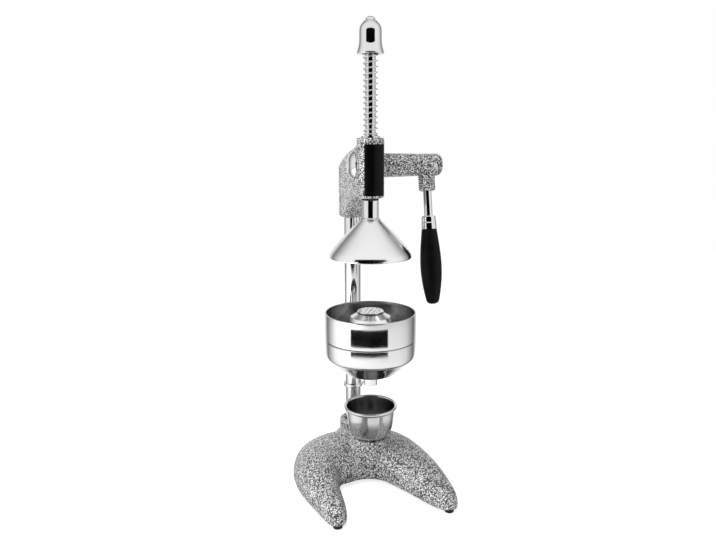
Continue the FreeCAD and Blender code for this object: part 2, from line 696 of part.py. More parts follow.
def rivet_rod(turn, low, high, radius):
    """A short rod pointing out from the press axis at the back of the bowl, this many degrees aside."""
    spin = FreeCAD.Rotation(V(0, 0, 1), turn)
    start = spin.multVec(V(0, size(low).value, 0))
    return rod(radius, size(high) - low, (start.x, PRESS + start.y, RIVET_Z), spin.multiply(ALONG_Y))


RIVET_TURNS = (-11, 11)
RIVET_Z = dim("seam_z") - dim("rivet_drop")


def funnel_bowl():
    """Fixed lower bowl: straight wall, shoulder and drain cone."""
    rim, radius, wall = dim("seam_z"), dim("bowl_radius") - 0.3, dim("sheet_wall")
    shoulder, low, small = dim("funnel_shoulder"), dim("funnel_bottom"), dim("funnel_small")
    drain, edge = dim("spout_radius"), rim - 0.3
    outline = [(drain, low), (small - 2, low), (small, low + 1), (57, shoulder - 8),
               (radius - 2, shoulder - 2), (radius, shoulder + 2), (radius, edge), (radius - wall, edge),
               (radius - wall, shoulder + 2.6), (radius - 3, shoulder - 0.5), (55.8, shoulder - 6.4),
               (small - 1.6, low + wall + 1), (small - 3, low + wall), (drain, low + wall)]
    return cut(turned(outline, at=AXIS), *rivet_holes())


def rivet_holes():
    """The rivets' bores through bowl and bracket pad."""
    return [rivet_rod(turn, dim("bowl_radius") - 5, dim("bowl_radius") + 10, dim("rivet_radius"))
            for turn in RIVET_TURNS]


def funnel_spout():
    """Short drain tube under the funnel."""
    low, high = dim("spout_bottom"), dim("funnel_bottom") + dim("sheet_wall")
    outer, inner = dim("spout_radius"), dim("spout_radius") - dim("sheet_wall")
    return turned([(inner, low), (outer, low), (outer, high), (inner, high)], at=AXIS)


BRACKET_SCREW = (0, COLUMN + dim("column_radius"), dim("bracket_low") + dim("bracket_screw"))


def bowl_bracket():
    """Sleeve on the column with an arm and a curved pad behind the funnel."""
    low, high, sleeve = dim("bracket_low"), dim("bracket_high"), dim("bracket_radius")
    outer = dim("bowl_radius") - 0.3
    pad_low = dim("funnel_shoulder") + 3
    pad_high = dim("seam_z") - 1
    body = rod(sleeve, high - low, (0, COLUMN, low))
    arm = block(18, COLUMN - PRESS - outer, pad_high - pad_low, (-9, PRESS + outer, pad_low))
    pad = doc.addObject("Part::MultiCommon", "pad")
    pad.Shapes = [block(40, 30, pad_high - pad_low, (-20, PRESS + 50, pad_low)),
                  ring(outer + 3, outer, pad_high - pad_low, (0, PRESS, pad_low))]
    return cut(fuse(body, arm, pad), rod(dim("column_radius"), high - low + 2, (0, COLUMN, low - 1)),
               rod(outer, high - low + 2, (0, PRESS, low - 1)),
               rod(dim("screw_radius"), 20, BRACKET_SCREW, ALONG_Y), *rivet_holes())


def bracket_rivets():
    """Rivets from the bowl's inside to the bracket pad."""
    inside = dim("bowl_radius") - 0.3 - dim("sheet_wall")
    outside = dim("bowl_radius") + 2.7
    return group(*[fuse(rivet_rod(turn, inside - 1, outside + 1.2, dim("rivet_radius")),
                        rivet_rod(turn, outside, outside + 1.4, dim("rivet_head"))) for turn in RIVET_TURNS])


def hand_screw(stem, head, length, at, turn):
    """A screw with a round turned head on its far end, made along its own upright axis."""
    stem, head, radius = size(stem), size(head), dim("screw_radius")
    total = stem + length
    knob = [(0, 0), (radius, 0), (radius, stem), (head, stem), (head, total - 1), (head - 1, total),
            (0, total)]
    return turned(knob, at=at, turn=turn)


node("funnel_bowl", funnel_bowl())
node("funnel_spout", funnel_spout())
node("bowl_bracket", bowl_bracket())
node("bracket_rivets", bracket_rivets())
node("bracket_screw", hand_screw(9, 7, 8, BRACKET_SCREW, ALONG_Y))


def stop_collar():
    """Thin ring clamped on the column below the bracket."""
    outer, low, high = dim("collar_radius"), dim("collar_low"), dim("collar_height")
    body = ring(outer, dim("column_radius"), high, (0, COLUMN, low))
    seat = (dim("column_radius"), COLUMN, low + high / 2)
    return cut(body, rod(dim("thumb_radius") + 0.1, 20, seat, ALONG_X))


def collar_screw():
    """Small thumb screw in the collar's right side."""
    low, high = dim("collar_low"), dim("collar_height")
    stem = dim("collar_radius") - dim("column_radius") + 3
    thin, head, end = dim("thumb_radius"), dim("thumb_head"), stem + 7
    outline = [(0, 0.2), (thin, 0.2), (thin, stem), (head, stem), (head, end - 1), (head - 1, end), (0, end)]
    return turned(outline, at=(dim("column_radius"), COLUMN, low + high / 2), turn=ALONG_X)


node("stop_collar", stop_collar())
node("collar_thumb_screw", collar_screw())


def juice_cup():
    """Small round cup with a rolled rim."""
    rim, radius, foot, wall = dim("cup_rim"), dim("cup_radius"), dim("cup_foot"), dim("cup_wall")
    low = dim("platform_z") + 0.1
    lip, belly, waist = dim("cup_rim_radius"), 33.5, 30.5
    outline = [(0, low), (foot, low), (27.2, low + 5.5), (waist, low + 13), (belly, low + 36),
               (radius, rim - 5), (lip, rim - 3.4), (lip, rim - 1), (lip - 2.2, rim), (radius - wall, rim - 1.6),
               (belly - wall, low + 36), (waist - wall, low + 13.6), (26.4, low + 6.6), (foot - 0.5, low + wall),
               (0, low + wall)]
    return turned(outline, {1: 14, 2: 30, 11: -29, 12: -13}, at=AXIS)


node("juice_cup", juice_cup())


def gear_face():
    """The pinion's outline with involute flanks, one tooth space facing the rack."""
    module, teeth = dim("tooth_module").value, int(dim("pinion_teeth").value)
    radius = PITCH_RADIUS.value
    slant = math.radians(dim("pressure_angle").value)
    base, tip, root = radius * math.cos(slant), radius + module, radius - 1.25 * module

    def involute(angle):
        return math.tan(angle) - angle

    def half_angle(at):
        half = math.pi / (2 * teeth) - dim("backlash").value / radius
        return half + involute(slant) - involute(math.acos(min(1.0, base / at)))

    def polar(at, angle):
        return V(at * math.cos(angle), at * math.sin(angle), 0)

    steps = [base + (tip - base) * (k / 6.0) ** 1.5 for k in range(7)]
    edges = []
    for tooth in range(teeth):
        middle = math.pi / 2 + (tooth + 0.5) * 2 * math.pi / teeth
        ahead = middle + 2 * math.pi / teeth
        rising, falling = Part.BSplineCurve(), Part.BSplineCurve()
        rising.interpolate([polar(at, middle - half_angle(at)) for at in steps])
        falling.interpolate([polar(at, middle + half_angle(at)) for at in reversed(steps)])
        foot, over = half_angle(base), half_angle(tip)
        valley = (middle + ahead) / 2
        edges += [
            Part.LineSegment(polar(root, middle - foot), polar(base, middle - foot)).toShape(),
            rising.toShape(),
            Part.Arc(polar(tip, middle - over), polar(tip, middle), polar(tip, middle + over)).toShape(),
            falling.toShape(),
            Part.LineSegment(polar(base, middle + foot), polar(root, middle + foot)).toShape(),
            Part.Arc(polar(root, middle + foot), polar(root, valley), polar(root, ahead - foot)).toShape(),
        ]
    return Part.Face(Part.Wire(edges))


def pinion_gear():
    """Spur pinion on the cross shaft."""
    half, bore = dim("pinion_half").value, dim("shaft_radius").value
    width, deep = dim("key_width").value, dim("key_depth").value + 0.1
    gear = gear_face().extrude(V(0, 0, 2 * half))
    gear = gear.cut(Part.makeCylinder(bore, 4 * half, V(0, 0, -half)))
    gear = gear.cut(Part.makeBox(bore + deep, width, 4 * half, V(0, -width / 2, -half)))
    return place(shaped(gear), (-dim("pinion_half"), PIVOT_Y, PIVOT_Z), ALONG_X)


def cross_pin(length):
    """The rod across the lever barrel and the shaft."""
    start = (dim("lever_end") - 12, PIVOT_Y - size(length) / 2, PIVOT_Z)
    return rod(dim("pin_radius"), length, start, ALONG_Y)


def key_block(height, low):
    """A bar as wide as the key, standing on this level below the shaft's axis."""
    length, width = dim("pinion_half") * 2 - 1, dim("key_width")
    return block(length, width, height, (-dim("pinion_half") + 0.5, PIVOT_Y - width / 2, PIVOT_Z - low))


def pinion_shaft():
    """Shaft that carries the pinion in the head and the lever outside."""
    radius, start, end = dim("shaft_radius"), -dim("pinion_half") - 7.5, dim("lever_end") - 6
    body = rod(radius, end - start, (start, PIVOT_Y, PIVOT_Z), ALONG_X)
    return cut(body, key_block(3, radius), cross_pin(40))


node("pinion_gear", pinion_gear())
node("pinion_shaft", pinion_shaft())
node("pinion_key", key_block(dim("key_height"), dim("shaft_radius") + dim("key_depth")))
node("thrust_washers", group(*[
    ring(dim("thrust_radius"), dim("shaft_radius"), dim("thrust_thick"), (x, PIVOT_Y, PIVOT_Z), ALONG_X)
    for x in (-dim("pinion_half") - dim("thrust_thick"), dim("pinion_half"))]))
node("retaining_ring", ring(dim("ring_radius"), dim("shaft_radius"), dim("ring_thick"),
                            (dim("ring_x"), PIVOT_Y, PIVOT_Z), ALONG_X))


def on_lever(thing, along):
    """Stand a piece on the lever's own axis, this far from the pivot."""
    forward, down = size(along) * math.sin(LEAN), size(along) * math.cos(LEAN)
    return place(thing, (dim("lever_x"), PIVOT_Y - forward, PIVOT_Z - down), LEVER_TURN)


# Where the rod starts below the pivot, and how far it goes into the grip
ROD_START = 19
ROD_DEPTH = 60


def lever_head():
    """Barrel on the shaft with a socket for the lever rod."""
    start, radius, end = dim("arm_end") + dim("lever_gap"), dim("arm_end_radius"), dim("lever_end")
    length = end - start
    barrel = turned([(0, 0), (radius - 1, 0), (radius, 1), (radius, length - 6), (radius - 6, length),
                     (0, length)], {3: 6}, at=(start, PIVOT_Y, PIVOT_Z), turn=ALONG_X)
    out = dim("lever_socket_length")
    outer = dim("lever_socket_radius")
    socket = on_lever(turned([(0, 0), (outer, 0), (outer, out - 3), (outer - 3, out), (0, out)], {2: 3}), 0)
    bore = rod(dim("shaft_radius") + SLACK, dim("lever_end") - 6 - start, (start, PIVOT_Y, PIVOT_Z), ALONG_X)
    seat = on_lever(rod(dim("rod_radius"), 40, AXIS), ROD_START)
    return cut(fuse(barrel, socket), bore, seat, cross_pin(40))


def ferrule():
    """Metal cup at the top of the grip."""
    radius, long = dim("ferrule_radius"), dim("grip_top") - dim("ferrule_top")
    bore = dim("rod_radius")
    recess = radius - 2.6
    return on_lever(turned([(bore, 6), (recess, 6), (recess, 0), (radius - 1, 0), (radius - 0.6, 1),
                            (radius, long), (bore, long)]), dim("ferrule_top"))


def grip():
    """Long black handle, fullest below its middle."""
    top, wide, long = dim("ferrule_radius"), dim("grip_radius"), dim("grip_length")
    bore, end = dim("rod_radius"), 10
    outline = [(bore, 0), (top, 0), (wide, long / 2), (end, long - end), (0, long), (0, ROD_DEPTH),
               (bore, ROD_DEPTH)]
    return on_lever(turned(outline, {1: 316, 2: 192, 3: dome(end, end)}), dim("grip_top"))


node("lever_head", lever_head())
node("lever_head_pin", cross_pin(dim("arm_end_radius") * 2 - 1))
node("lever_rod", on_lever(rod(dim("rod_radius"), dim("grip_top") + ROD_DEPTH - ROD_START, AXIS), ROD_START))
node("ferrule", ferrule())
node("grip", grip())

doc.recompute()
bad = [thing.Name for thing in doc.Objects if "Invalid" in thing.State or "Error" in thing.State]
if bad:
    raise SystemExit("failed objects: %s" % ", ".join(bad))
for label, thing in NODES.items():
    if thing.Shape.isNull() or not thing.Shape.isValid() or not thing.Shape.Solids:
        raise SystemExit("bad shape: %s" % label)
whole = FreeCAD.BoundBox()
os.makedirs("parts", exist_ok=True)
for label, thing in NODES.items():
    shape = thing.Shape
    whole.add(shape.BoundBox)
    print("%-20s solids %d volume %.0f" % (label, len(shape.Solids), shape.Volume))
    shape.exportStep("parts/%s.step" % label)
print("%d pieces, box x %.1f..%.1f y %.1f..%.1f z %.1f..%.1f" % (
    len(NODES), whole.XMin, whole.XMax, whole.YMin, whole.YMax, whole.ZMin, whole.ZMax))
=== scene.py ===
"""Looks of a lever citrus juice press: finishes, turned skins, castings, spring, light and camera."""
import json
import logging
import math
from collections.abc import Callable
from dataclasses import dataclass
from enum import Enum

import bpy
from mathutils import Matrix, Vector

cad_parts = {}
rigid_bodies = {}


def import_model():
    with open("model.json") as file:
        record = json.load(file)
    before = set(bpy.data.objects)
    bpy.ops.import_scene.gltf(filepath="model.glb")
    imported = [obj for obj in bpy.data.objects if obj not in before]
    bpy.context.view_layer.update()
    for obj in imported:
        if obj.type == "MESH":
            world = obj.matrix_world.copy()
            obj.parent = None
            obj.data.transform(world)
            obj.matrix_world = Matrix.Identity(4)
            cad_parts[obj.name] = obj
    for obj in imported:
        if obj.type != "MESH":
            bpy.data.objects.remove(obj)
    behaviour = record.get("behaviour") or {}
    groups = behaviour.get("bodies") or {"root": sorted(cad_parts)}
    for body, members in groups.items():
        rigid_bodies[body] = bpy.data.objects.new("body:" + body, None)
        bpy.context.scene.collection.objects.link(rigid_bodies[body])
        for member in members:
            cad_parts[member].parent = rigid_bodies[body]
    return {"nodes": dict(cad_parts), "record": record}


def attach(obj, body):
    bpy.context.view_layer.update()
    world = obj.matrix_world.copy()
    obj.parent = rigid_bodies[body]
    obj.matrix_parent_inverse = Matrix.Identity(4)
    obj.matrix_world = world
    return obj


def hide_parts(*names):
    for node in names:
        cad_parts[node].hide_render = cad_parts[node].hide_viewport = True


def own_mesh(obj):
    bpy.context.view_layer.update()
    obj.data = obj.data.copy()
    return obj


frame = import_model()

LOG = logging.getLogger("citrus_press")
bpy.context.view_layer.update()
MM = 0.001

# Places in mm: the press axis, the column, the lever's pivot and the lever's own axis
PRESS_Y = 5.0
PRESS_FOOT = Vector((0.0, PRESS_Y, 0.0))
COLUMN_FOOT = Vector((0.0, 105.0, 0.0))
PIVOT = Vector((0.0, 26.2, 447.0))
LEVER_X = 87.5
LEVER_LEAN = math.radians(11.0)

# Flats round a turned piece, and round a thin one
TURN_STEPS = 112
SMALL_STEPS = 72
# Edges sharper than this stay sharp, in degrees: on turned pieces, wound wire and carried-over nodes
TURNED_CREASE = 32.0
WIRE_CREASE = 50.0
NODE_CREASE = 28.0
# Vertices of a carried-over node this close, in mm, are one
NODE_WELD = 0.004

# A corner is a radius, a height and, where it is rounded, how far from it the rounding starts, in mm
Corner = tuple[float, ...]
FaceTest = Callable[[Vector, Vector], bool]


class Body(Enum):
    """The moving bodies of the press."""

    STAND = "stand"
    PLUNGER = "plunger"
    LEVER = "lever"
    STRAINER = "strainer_bowl"
    CUP = "cup"
    SCREW = "thumb_screw"


class Slot(Enum):
    """The record's material slots."""

    HAMMERTONE = "hammertone"
    CHROME = "chrome"
    ALUMINIUM = "cast_aluminium"
    STAINLESS = "stainless"
    STEEL = "steel"
    BRONZE = "bronze"
    GRIP = "grip_black"
    PLATE = "plate_black"
    RUBBER = "rubber"


def linear(colour: str) -> tuple[float, float, float, float]:
    """Turn a sRGB hex colour into linear values.

    Args:
        colour: A hex string such as "#c8c8c8".

    Returns:
        Linear red, green, blue and an alpha of one.
    """
    parts = [int(colour[i:i + 2], 16) / 255 for i in (1, 3, 5)]
    red, green, blue = (p / 12.92 if p <= 0.04045 else ((p + 0.055) / 1.055) ** 2.4 for p in parts)
    return red, green, blue, 1.0


def add(tree: bpy.types.NodeTree, kind: str, links: dict[str | int, object] | None = None,
        **settings: object) -> bpy.types.Node:
    """Add one node with its settings and its inputs.

    Args:
        tree: The node tree to add to.
        kind: The node's type name.
        links: For each input's name or number, an output socket or a plain value.
        **settings: Attributes of the node itself.

    Returns:
        The new node.
    """
    node = tree.nodes.new(kind)
    for name, value in settings.items():
        setattr(node, name, value)
    for name, value in (links or {}).items():
        if isinstance(value, bpy.types.NodeSocket):
            tree.links.new(value, node.inputs[name])
        else:
            node.inputs[name].default_value = value
    return node


def ramp(tree: bpy.types.NodeTree, factor: bpy.types.NodeSocket,
         stops: list[tuple[float, str]]) -> bpy.types.Node:
    """Add a colour ramp.

    Args:
        tree: The node tree to add to.
        factor: The socket that drives it.
        stops: Position and hex colour of each stop, in order.

    Returns:
        The ramp node.
    """
    node = add(tree, "ShaderNodeValToRGB", {"Fac": factor})
    elements = node.color_ramp.elements
    while len(elements) < len(stops):
        elements.new(0.5)
    for element, (place, colour) in zip(elements, stops):
        element.position = place
        element.color = linear(colour)
    return node


@dataclass(frozen=True)
class Finish:
    """What every finish shares: a name and a shader on Object coordinates."""

    name: str

    def start(self) -> tuple[bpy.types.Material, bpy.types.NodeTree, bpy.types.Node, bpy.types.NodeSocket]:
        """Make an empty material.

        Returns:
            The material, its tree, its shader and the Object coordinates socket.
        """
        material = bpy.data.materials.new(self.name)
        material.use_nodes = True
        tree = material.node_tree
        tree.nodes.clear()
        shader = add(tree, "ShaderNodeBsdfPrincipled")
        add(tree, "ShaderNodeOutputMaterial", {"Surface": shader.outputs["BSDF"]})
        place = add(tree, "ShaderNodeTexCoord").outputs["Object"]
        return material, tree, shader, place

    def material(self) -> bpy.types.Material:
        """Give the finish's material, made once.

        Returns:
            The material.
        """
        return bpy.data.materials.get(self.name) or self.build()

    def build(self) -> bpy.types.Material:
        """Make the material: each finish has its own.

        Returns:
            The new material.
        """
        raise NotImplementedError


@dataclass(frozen=True)
class HammeredEnamel(Finish):
    """Silver-vein hammered enamel, sprayed on a rough casting.

    The vein enamel flows into cells a couple of millimetres wide: dark pigment gathers in the
    hollows and bright aluminium flake on the rims, so the eye sees salt-and-pepper sparkle.
    """

    cell: float = 2.3
    dark: str = "#3c3c3d"
    shaded: str = "#88888a"
    middle: str = "#b4b4b5"
    pale: str = "#dcdcdc"
    bright: str = "#fbfbfb"
    hollow: float = -0.22
    crest: float = 0.42
    roughness: float = 0.36
    metallic: float = 0.3
    relief: float = 0.4
    coat: float = 0.35
    coat_roughness: float = 0.12

    def build(self) -> bpy.types.Material:
        """Make the speckled enamel.

        Returns:
            The new material.
        """
        material, tree, shader, place = self.start()
        wander = add(tree, "ShaderNodeTexNoise", {"Vector": place, "Scale": 1 / (self.cell * MM),
                                                  "Detail": 3.0, "Roughness": 0.62, "Distortion": 0.7})
        cells = add(tree, "ShaderNodeTexVoronoi", {"Vector": place, "Scale": 1 / (self.cell * 0.8 * MM)},
                    feature="SMOOTH_F1")
        cells.inputs["Smoothness"].default_value = 0.35
        both = add(tree, "ShaderNodeMath", {0: wander.outputs["Fac"], 1: cells.outputs["Distance"]},
                   operation="SUBTRACT")
        lifted = add(tree, "ShaderNodeMapRange", {"Value": both.outputs[0], "From Min": self.hollow,
                                                  "From Max": self.crest})
        colour = ramp(tree, lifted.outputs["Result"],
                      [(0.14, self.dark), (0.36, self.shaded), (0.52, self.middle), (0.7, self.pale),
                       (0.88, self.bright)])
        tree.links.new(colour.outputs["Color"], shader.inputs["Base Color"])
        bump = add(tree, "ShaderNodeBump", {"Height": lifted.outputs["Result"], "Strength": 0.4,
                                            "Distance": self.relief * MM})
        tree.links.new(bump.outputs["Normal"], shader.inputs["Normal"])
        shader.inputs["Metallic"].default_value = self.metallic
        shader.inputs["Roughness"].default_value = self.roughness
        shader.inputs["Coat Weight"].default_value = self.coat
        shader.inputs["Coat Roughness"].default_value = self.coat_roughness
        return material


@dataclass(frozen=True)
class PolishedMetal(Finish):
    """Bright metal: plated, buffed, spun or ground.

    A mirror with faint lathe or buffing lines and smudges, so highlights break up a little.
    """

    colour: str
    roughness: float
    lines: float
    waviness: float
    smudge_size: float = 26.0
    line_length: float = 9.0
    line_count: float = 26.0
    wave_size: float = 14.0
    line_depth: float = 0.012
    wave_depth: float = 0.6

    def build(self) -> bpy.types.Material:
        """Make the bright metal.

        Returns:
            The new material.
        """
        material, tree, shader, place = self.start()
        smudge = add(tree, "ShaderNodeTexNoise", {"Vector": place, "Scale": 1 / (self.smudge_size * MM),
                                                  "Detail": 3.0})
        rough = add(tree, "ShaderNodeMapRange", {"Value": smudge.outputs["Fac"], "From Min": 0.3,
                                                 "From Max": 0.75, "To Min": self.roughness * 0.75,
                                                 "To Max": self.roughness * 1.6})
        tree.links.new(rough.outputs["Result"], shader.inputs["Roughness"])
        stretch = add(tree, "ShaderNodeMapping", {"Vector": place, "Scale": (1.0, 1.0, self.line_count)})
        lines = add(tree, "ShaderNodeTexNoise", {"Vector": stretch.outputs["Vector"],
                                                 "Scale": 1 / (self.line_length * MM), "Detail": 2.0})
        wave = add(tree, "ShaderNodeTexNoise", {"Vector": place, "Scale": 1 / (self.wave_size * MM),
                                                "Detail": 1.0})
        fine = add(tree, "ShaderNodeBump", {"Height": lines.outputs["Fac"], "Strength": self.lines,
                                            "Distance": self.line_depth * MM})
        broad = add(tree, "ShaderNodeBump", {"Height": wave.outputs["Fac"], "Strength": self.waviness,
                                             "Distance": self.wave_depth * MM,
                                             "Normal": fine.outputs["Normal"]})
        tree.links.new(broad.outputs["Normal"], shader.inputs["Normal"])
        shader.inputs["Base Color"].default_value = linear(self.colour)
        shader.inputs["Metallic"].default_value = 1.0
        return material


@dataclass(frozen=True)
class Moulded(Finish):
    """Moulded or painted black and rubber goods: a fine grain on a dark body."""

    colour: str
    lighter: str
    roughness: float
    grain: float
    depth: float
    shine: float = 0.5
    mottle_size: float = 11.0

    def build(self) -> bpy.types.Material:
        """Make the moulded skin.

        Returns:
            The new material.
        """
        material, tree, shader, place = self.start()
        mottle = add(tree, "ShaderNodeTexNoise", {"Vector": place, "Scale": 1 / (self.mottle_size * MM),
                                                  "Detail": 4.0})
        colour = ramp(tree, mottle.outputs["Fac"], [(0.3, self.colour), (0.75, self.lighter)])
        tree.links.new(colour.outputs["Color"], shader.inputs["Base Color"])
        rough = add(tree, "ShaderNodeMapRange", {"Value": mottle.outputs["Fac"],
                                                 "To Min": self.roughness * 0.85,
                                                 "To Max": self.roughness * 1.25})
        tree.links.new(rough.outputs["Result"], shader.inputs["Roughness"])
        grain = add(tree, "ShaderNodeTexNoise", {"Vector": place, "Scale": 1 / (self.grain * MM),
                                                 "Detail": 2.0})
        bump = add(tree, "ShaderNodeBump", {"Height": grain.outputs["Fac"], "Strength": 0.35,
                                            "Distance": self.depth * MM})
        tree.links.new(bump.outputs["Normal"], shader.inputs["Normal"])
        shader.inputs["Specular IOR Level"].default_value = self.shine
        return material


ENAMEL = HammeredEnamel("hammered_silver_vein_enamel")
# Chrome over ground steel: a near-perfect mirror, so its dark marks have hard edges
CHROME = PolishedMetal("polished_chrome_plate", colour="#e3e3e4", roughness=0.05, lines=0.12, waviness=0.03)
# Buffed cast aluminium: bright, with a soft bloom round every reflection
CAST = PolishedMetal("buffed_cast_aluminium", colour="#f0f0f0", roughness=0.15, lines=0.3, waviness=0.08)
# Spun and polished stainless sheet: a mirror faintly broken by rings
STAINLESS = PolishedMetal("spun_stainless_polished", colour="#dededf", roughness=0.07, lines=0.3,
                          waviness=0.05)
# Spun stainless left satin inside the bowl: reflections smear into soft grey
SATIN = PolishedMetal("spun_stainless_satin_inside", colour="#d2d2d3", roughness=0.17, lines=0.5,
                      waviness=0.1)
# Spun stainless inside the cup, with painted shade: a darker grey base colour stands in for the little light
# that reaches it
SHADED = PolishedMetal("spun_stainless_cup_inside_painted_shade", colour="#a2a2a3", roughness=0.16, lines=0.4,
                       waviness=0.08)
# Machined steel: slightly greyer than chrome, with fine turning lines
STEEL = PolishedMetal("machined_steel", colour="#d0d0d1", roughness=0.06, lines=0.2, waviness=0.03)
# Sintered bronze: a matt brown-gold of pressed grains
BRONZE = PolishedMetal("sintered_bronze", colour="#b08a52", roughness=0.35, lines=0.4, waviness=0.05)
# Moulded phenolic: deep black with a weak, broad sheen
GRIP = Moulded("moulded_phenolic_black", colour="#040404", lighter="#080808", roughness=0.42, grain=0.5,
               depth=0.02, shine=0.12)
# Stove-enamelled plate: flat black that barely shines
PLATE = Moulded("black_enamel_plate", colour="#030303", lighter="#060606", roughness=0.3, grain=1.4,
                depth=0.01, shine=0.12)
# Moulded rubber: dull dark grey
RUBBER = Moulded("black_rubber", colour="#101010", lighter="#1b1b1b", roughness=0.7, grain=0.35, depth=0.05)

FINISH_OF_SLOT: dict[Slot, Finish] = {
    Slot.HAMMERTONE: ENAMEL, Slot.CHROME: CHROME, Slot.ALUMINIUM: CAST, Slot.STAINLESS: STAINLESS,
    Slot.STEEL: STEEL, Slot.BRONZE: BRONZE, Slot.GRIP: GRIP, Slot.PLATE: PLATE, Slot.RUBBER: RUBBER,
}


def deselect() -> None:
    """Leave edit mode and select nothing."""
    if bpy.context.object and bpy.context.object.mode != "OBJECT":
        bpy.ops.object.mode_set(mode="OBJECT")
    bpy.ops.object.select_all(action="DESELECT")


def make_active(piece: bpy.types.Object) -> None:
    """Select one object alone and make it active.

    Args:
        piece: The object.
    """
    deselect()
    piece.select_set(True)
    bpy.context.view_layer.objects.active = piece


def apply_modifiers(piece: bpy.types.Object) -> None:
    """Apply every modifier of a piece, in order.

    Args:
        piece: The piece.
    """
    make_active(piece)
    for modifier in list(piece.modifiers):
        bpy.ops.object.modifier_apply(modifier=modifier.name)


def settle(piece: bpy.types.Object) -> None:
    """Put a piece's place, turn and scale into its mesh.

    Args:
        piece: The piece.
    """
    make_active(piece)
    bpy.ops.object.transform_apply(location=True, rotation=True, scale=True)


def first_point(spot: Vector) -> bpy.types.Object:
    """Add a piece of one vertex, left in edit mode with the vertex selected.

    Args:
        spot: The vertex's place in metres.

    Returns:
        The new piece.
    """
    deselect()
    bpy.ops.mesh.primitive_plane_add(size=MM, location=spot)
    piece = bpy.context.active_object
    settle(piece)
    bpy.ops.object.mode_set(mode="EDIT")
    bpy.ops.mesh.select_mode(type="VERT")
    bpy.ops.mesh.select_all(action="SELECT")
    bpy.ops.mesh.merge(type="CENTER")
    return piece


def weld(threshold: float) -> None:
    """Merge the vertices of the piece in edit mode that lie this close, and select them all.

    Args:
        threshold: The distance in mm.
    """
    bpy.ops.mesh.select_all(action="SELECT")
    bpy.ops.mesh.remove_doubles(threshold=threshold * MM)
    bpy.ops.mesh.select_all(action="SELECT")


def close_shell(crease: float) -> None:
    """Turn the faces of the piece in edit mode outwards, leave edit mode and shade it smooth.

    Args:
        crease: Edges sharper than this stay sharp, in degrees.
    """
    bpy.ops.mesh.select_all(action="SELECT")
    bpy.ops.mesh.normals_make_consistent(inside=False)
    bpy.ops.object.mode_set(mode="OBJECT")
    bpy.ops.object.shade_smooth_by_angle(angle=math.radians(crease))


def rounded(corners: list[Corner], steps: int = 7) -> list[tuple[float, float]]:
    """Round an outline's corners.

    Args:
        corners: Radius and height in mm, and where wanted, how far from the corner its rounding starts.
        steps: Points on each rounded corner.

    Returns:
        The outline's points. A setback past half a side is held to half of it, which makes long
        stretches of such corners one smooth curve.
    """
    points: list[tuple[float, float]] = []
    for k, corner in enumerate(corners):
        here = Vector(corner[:2])
        setback = corner[2] if len(corner) > 2 and 0 < k < len(corners) - 1 else 0.0
        if setback <= 0:
            points.append((here.x, here.y))
            continue
        before, after = Vector(corners[k - 1][:2]) - here, Vector(corners[k + 1][:2]) - here
        start = here + before.normalized() * min(setback, before.length * 0.499)
        end = here + after.normalized() * min(setback, after.length * 0.499)
        for i in range(steps + 1):
            t = i / steps
            spot = start * (1 - t) ** 2 + here * (2 * t * (1 - t)) + end * t ** 2
            points.append((spot.x, spot.y))
    return points


def lathe(name: str, corners: list[Corner], closed: bool = True,
          steps: int = TURN_STEPS) -> bpy.types.Object:
    """Turn an outline about the upright axis through the origin.

    Args:
        name: The piece's name.
        corners: The outline in mm, as rounded() takes it.
        closed: Whether the outline's end joins its start.
        steps: Flats round the piece.

    Returns:
        The turned piece, still at the origin.
    """
    points = [Vector((r * MM, 0, z * MM)) for r, z in rounded(corners)]
    piece = first_point(points[0])
    piece.name = name
    trail = points[1:] + points[:1] if closed else points[1:]
    for last, following in zip(points, trail):
        bpy.ops.mesh.extrude_vertices_move(TRANSFORM_OT_translate={"value": following - last})
    weld(0.0001)
    bpy.ops.mesh.spin(steps=steps, angle=2 * math.pi, center=(0, 0, 0), axis=(0, 0, 1))
    weld(0.002)
    close_shell(TURNED_CREASE)
    return piece


def stand_at(piece: bpy.types.Object, spot: Vector, turn: Matrix | None = None) -> bpy.types.Object:
    """Move a piece from the origin to its place.

    Args:
        piece: The piece, made at the origin.
        spot: Where its origin goes, in mm.
        turn: A rotation about the origin that comes first.

    Returns:
        The piece, its place in its mesh.
    """
    piece.matrix_world = Matrix.Translation(spot * MM) @ (turn.to_4x4() if turn else Matrix.Identity(4))
    settle(piece)
    return piece


def dress(piece: bpy.types.Object, finish: Finish) -> None:
    """Give the whole piece one finish.

    Args:
        piece: The piece.
        finish: The finish.
    """
    piece.data.materials.clear()
    piece.data.materials.append(finish.material())


def hand_over(piece: bpy.types.Object, body: Body, slot: Slot, *nodes: str) -> None:
    """Let a piece ride on its body in place of its plain nodes.

    Args:
        piece: The finished piece.
        body: The body it moves with.
        slot: The material slot it takes its finish from.
        *nodes: The nodes it stands for.
    """
    if not piece.data.materials:
        dress(piece, FINISH_OF_SLOT[slot])
    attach(piece, body.value)
    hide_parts(*nodes)
    LOG.info("%s: %d faces", piece.name, len(piece.data.polygons))


